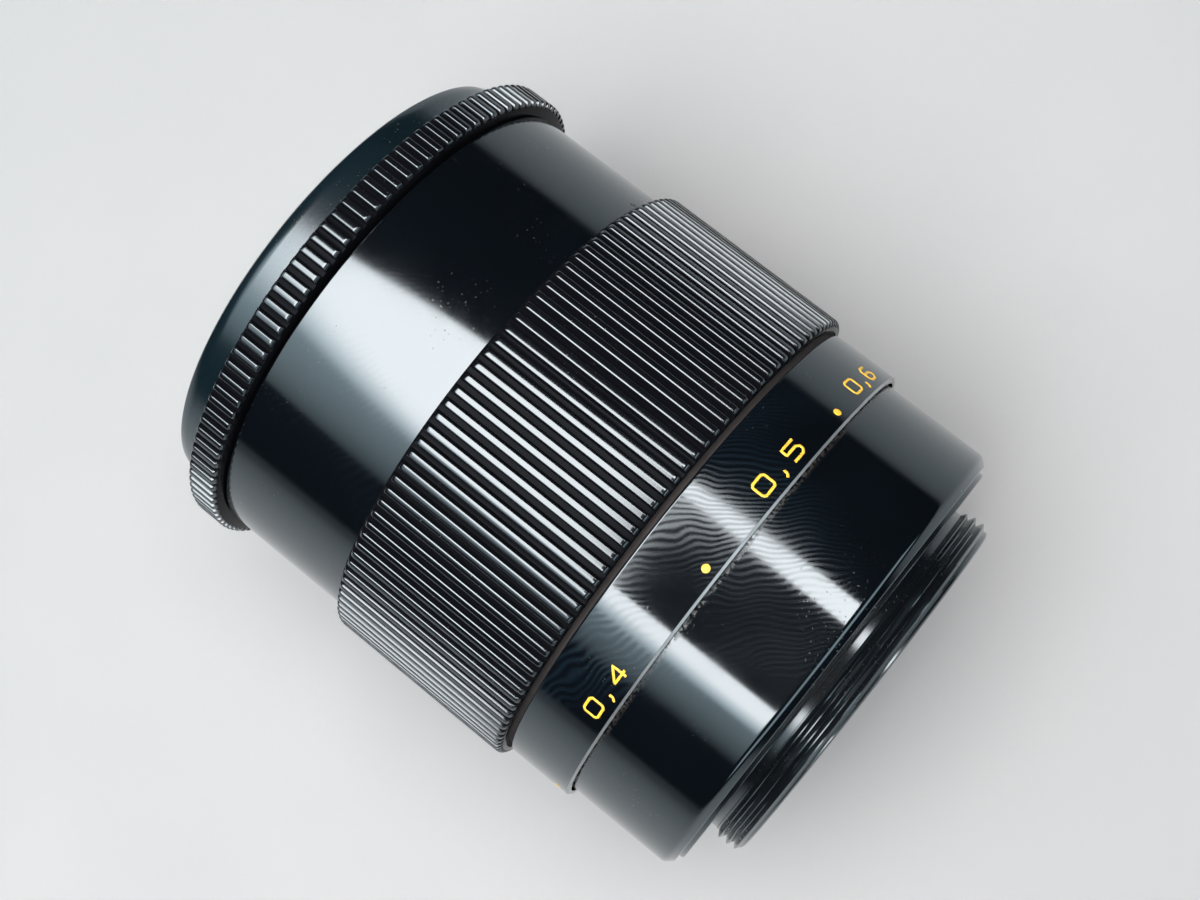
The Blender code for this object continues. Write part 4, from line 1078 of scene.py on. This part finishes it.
def lamp_skin(strength):
    """Bright oval core in a weak glow that fades towards +X, both dimmer at the front edge."""
    n = Nodes("softbox_glow")
    inputs = glow(n)
    axes = n.axes()
    wide = n.math("MULTIPLY", n.math("SUBTRACT", axes["X"], CORE_X), 1 / CORE_HALF_X)
    core = n.remap(n.reach(wide, n.math("MULTIPLY", axes["Y"], 1 / CORE_HALF_Y)), *CORE_FADE, CORE_SHARE, 0.0)
    side = n.math("ADD", core, n.remap(axes["X"], 0.3, 1.6, TAIL_SHARE, 0.0))
    front = n.remap(axes["Y"], -0.75, -0.5, 0.4, 1.0)
    n.link(n.math("MULTIPLY", n.math("MULTIPLY", side, front), strength), inputs["Strength"])
    n.link(n.mix(core, COOL_TAIL, WARM_CORE), inputs["Color"])
    return n.material


def card_skin(strength):
    """Dim, faintly uneven glow, for the edges that face the rear."""
    n = Nodes("card_glow")
    inputs = glow(n)
    uneven = n.remap(n.noise(2.0, 1, 0.5), 0.3, 0.7, 0.8 * strength, 1.1 * strength)
    n.link(uneven, inputs["Strength"])
    inputs["Color"].default_value = CARD_BLUE
    return n.material


# Outline of the overhead light. Its -X side slants in towards the front, so the streak on the tube
# tapers.
LIGHT_HEIGHT = 0.9
LIGHT_STRENGTH = 9.8
CARD_STRENGTH = 2.2
LIGHT_OUTLINE = (
    (-0.45, 0.28),
    (-0.45, -0.02),
    (-0.23, -0.27),
    (-0.11, -0.36),
    (0.02, -0.5),
    (0.2, -0.75),
    (1.0, -0.75),
    (1.6, -0.4),
    (1.6, 0.28),
)
softbox = plane("softbox", [(x, y, LIGHT_HEIGHT) for x, y in LIGHT_OUTLINE], lamp_skin(LIGHT_STRENGTH))
softbox.visible_camera = False

rear_card = plane(
    "rear_card", [(-1.4, 1.0, 0.27), (1.4, 1.0, 0.27), (1.4, 1.0, 0.8), (-1.4, 1.0, 0.8)],
    card_skin(CARD_STRENGTH),
)
rear_card.visible_camera = False
rear_card.visible_diffuse = False

CAMERA_FORWARDS = 0.9 * MM
CAMERA_HEIGHT = 190.43 * MM
camera_spot = Vector((0.0, FLANGE_Y - CAMERA_FORWARDS, AXIS_Z + CAMERA_HEIGHT))

# Dark flag just above the camera, seen only in the lens's shiny faces. It keeps the light out of the
# crown of the barrel, as the photographer's camera does.
FLAG_X = (-0.055, 0.106)
FLAG_Y = (-0.043, 0.12)
FLAG_RISE = 0.006
flag_corners = [(x, FLAG_Y[1]) for x in FLAG_X] + [(x, FLAG_Y[0]) for x in FLAG_X[::-1]]
flag = plane("camera_flag", [camera_spot + Vector((x, y, FLAG_RISE)) for x, y in flag_corners], MATT)
flag.visible_camera = False
flag.visible_diffuse = False
flag.visible_shadow = False

ROOM_DARK = (0.004, 0.008, 0.012, 1.0)
ROOM_SEEN = (0.72, 0.75, 0.76, 1.0)
world = bpy.data.worlds.new("room")
bpy.context.scene.world = world
world.use_nodes = True
tree = world.node_tree
background = tree.nodes["Background"]
path = tree.nodes.new("ShaderNodeLightPath")
shade = tree.nodes.new("ShaderNodeMix")
shade.data_type = "RGBA"
tree.links.new(path.outputs["Is Camera Ray"], shade.inputs["Factor"])
colours = [item for item in shade.inputs if item.type == "RGBA"]
colours[0].default_value = ROOM_DARK
colours[1].default_value = ROOM_SEEN
tree.links.new([item for item in shade.outputs if item.type == "RGBA"][0], background.inputs["Color"])

camera_data = bpy.data.cameras.new("camera")
camera_data.lens = 54.5
camera_data.sensor_width = 36.0
camera_data.clip_start = 0.01
camera = bpy.data.objects.new("camera", camera_data)
bpy.context.scene.collection.objects.link(camera)
# The camera looks down from above the mount, a little forwards, and is rolled so that the lens's
# front points to the upper left.
right = Vector((-0.6191, 0.7756, -0.1229))
up = Vector((-0.7852, -0.6086, 0.1145))
back = right.cross(up).normalized()
camera.matrix_world = Matrix.Translation(camera_spot) @ Matrix((right, up, back)).transposed().to_4x4()
bpy.context.scene.camera = camera

bpy.context.scene.view_settings.view_transform = "Standard"
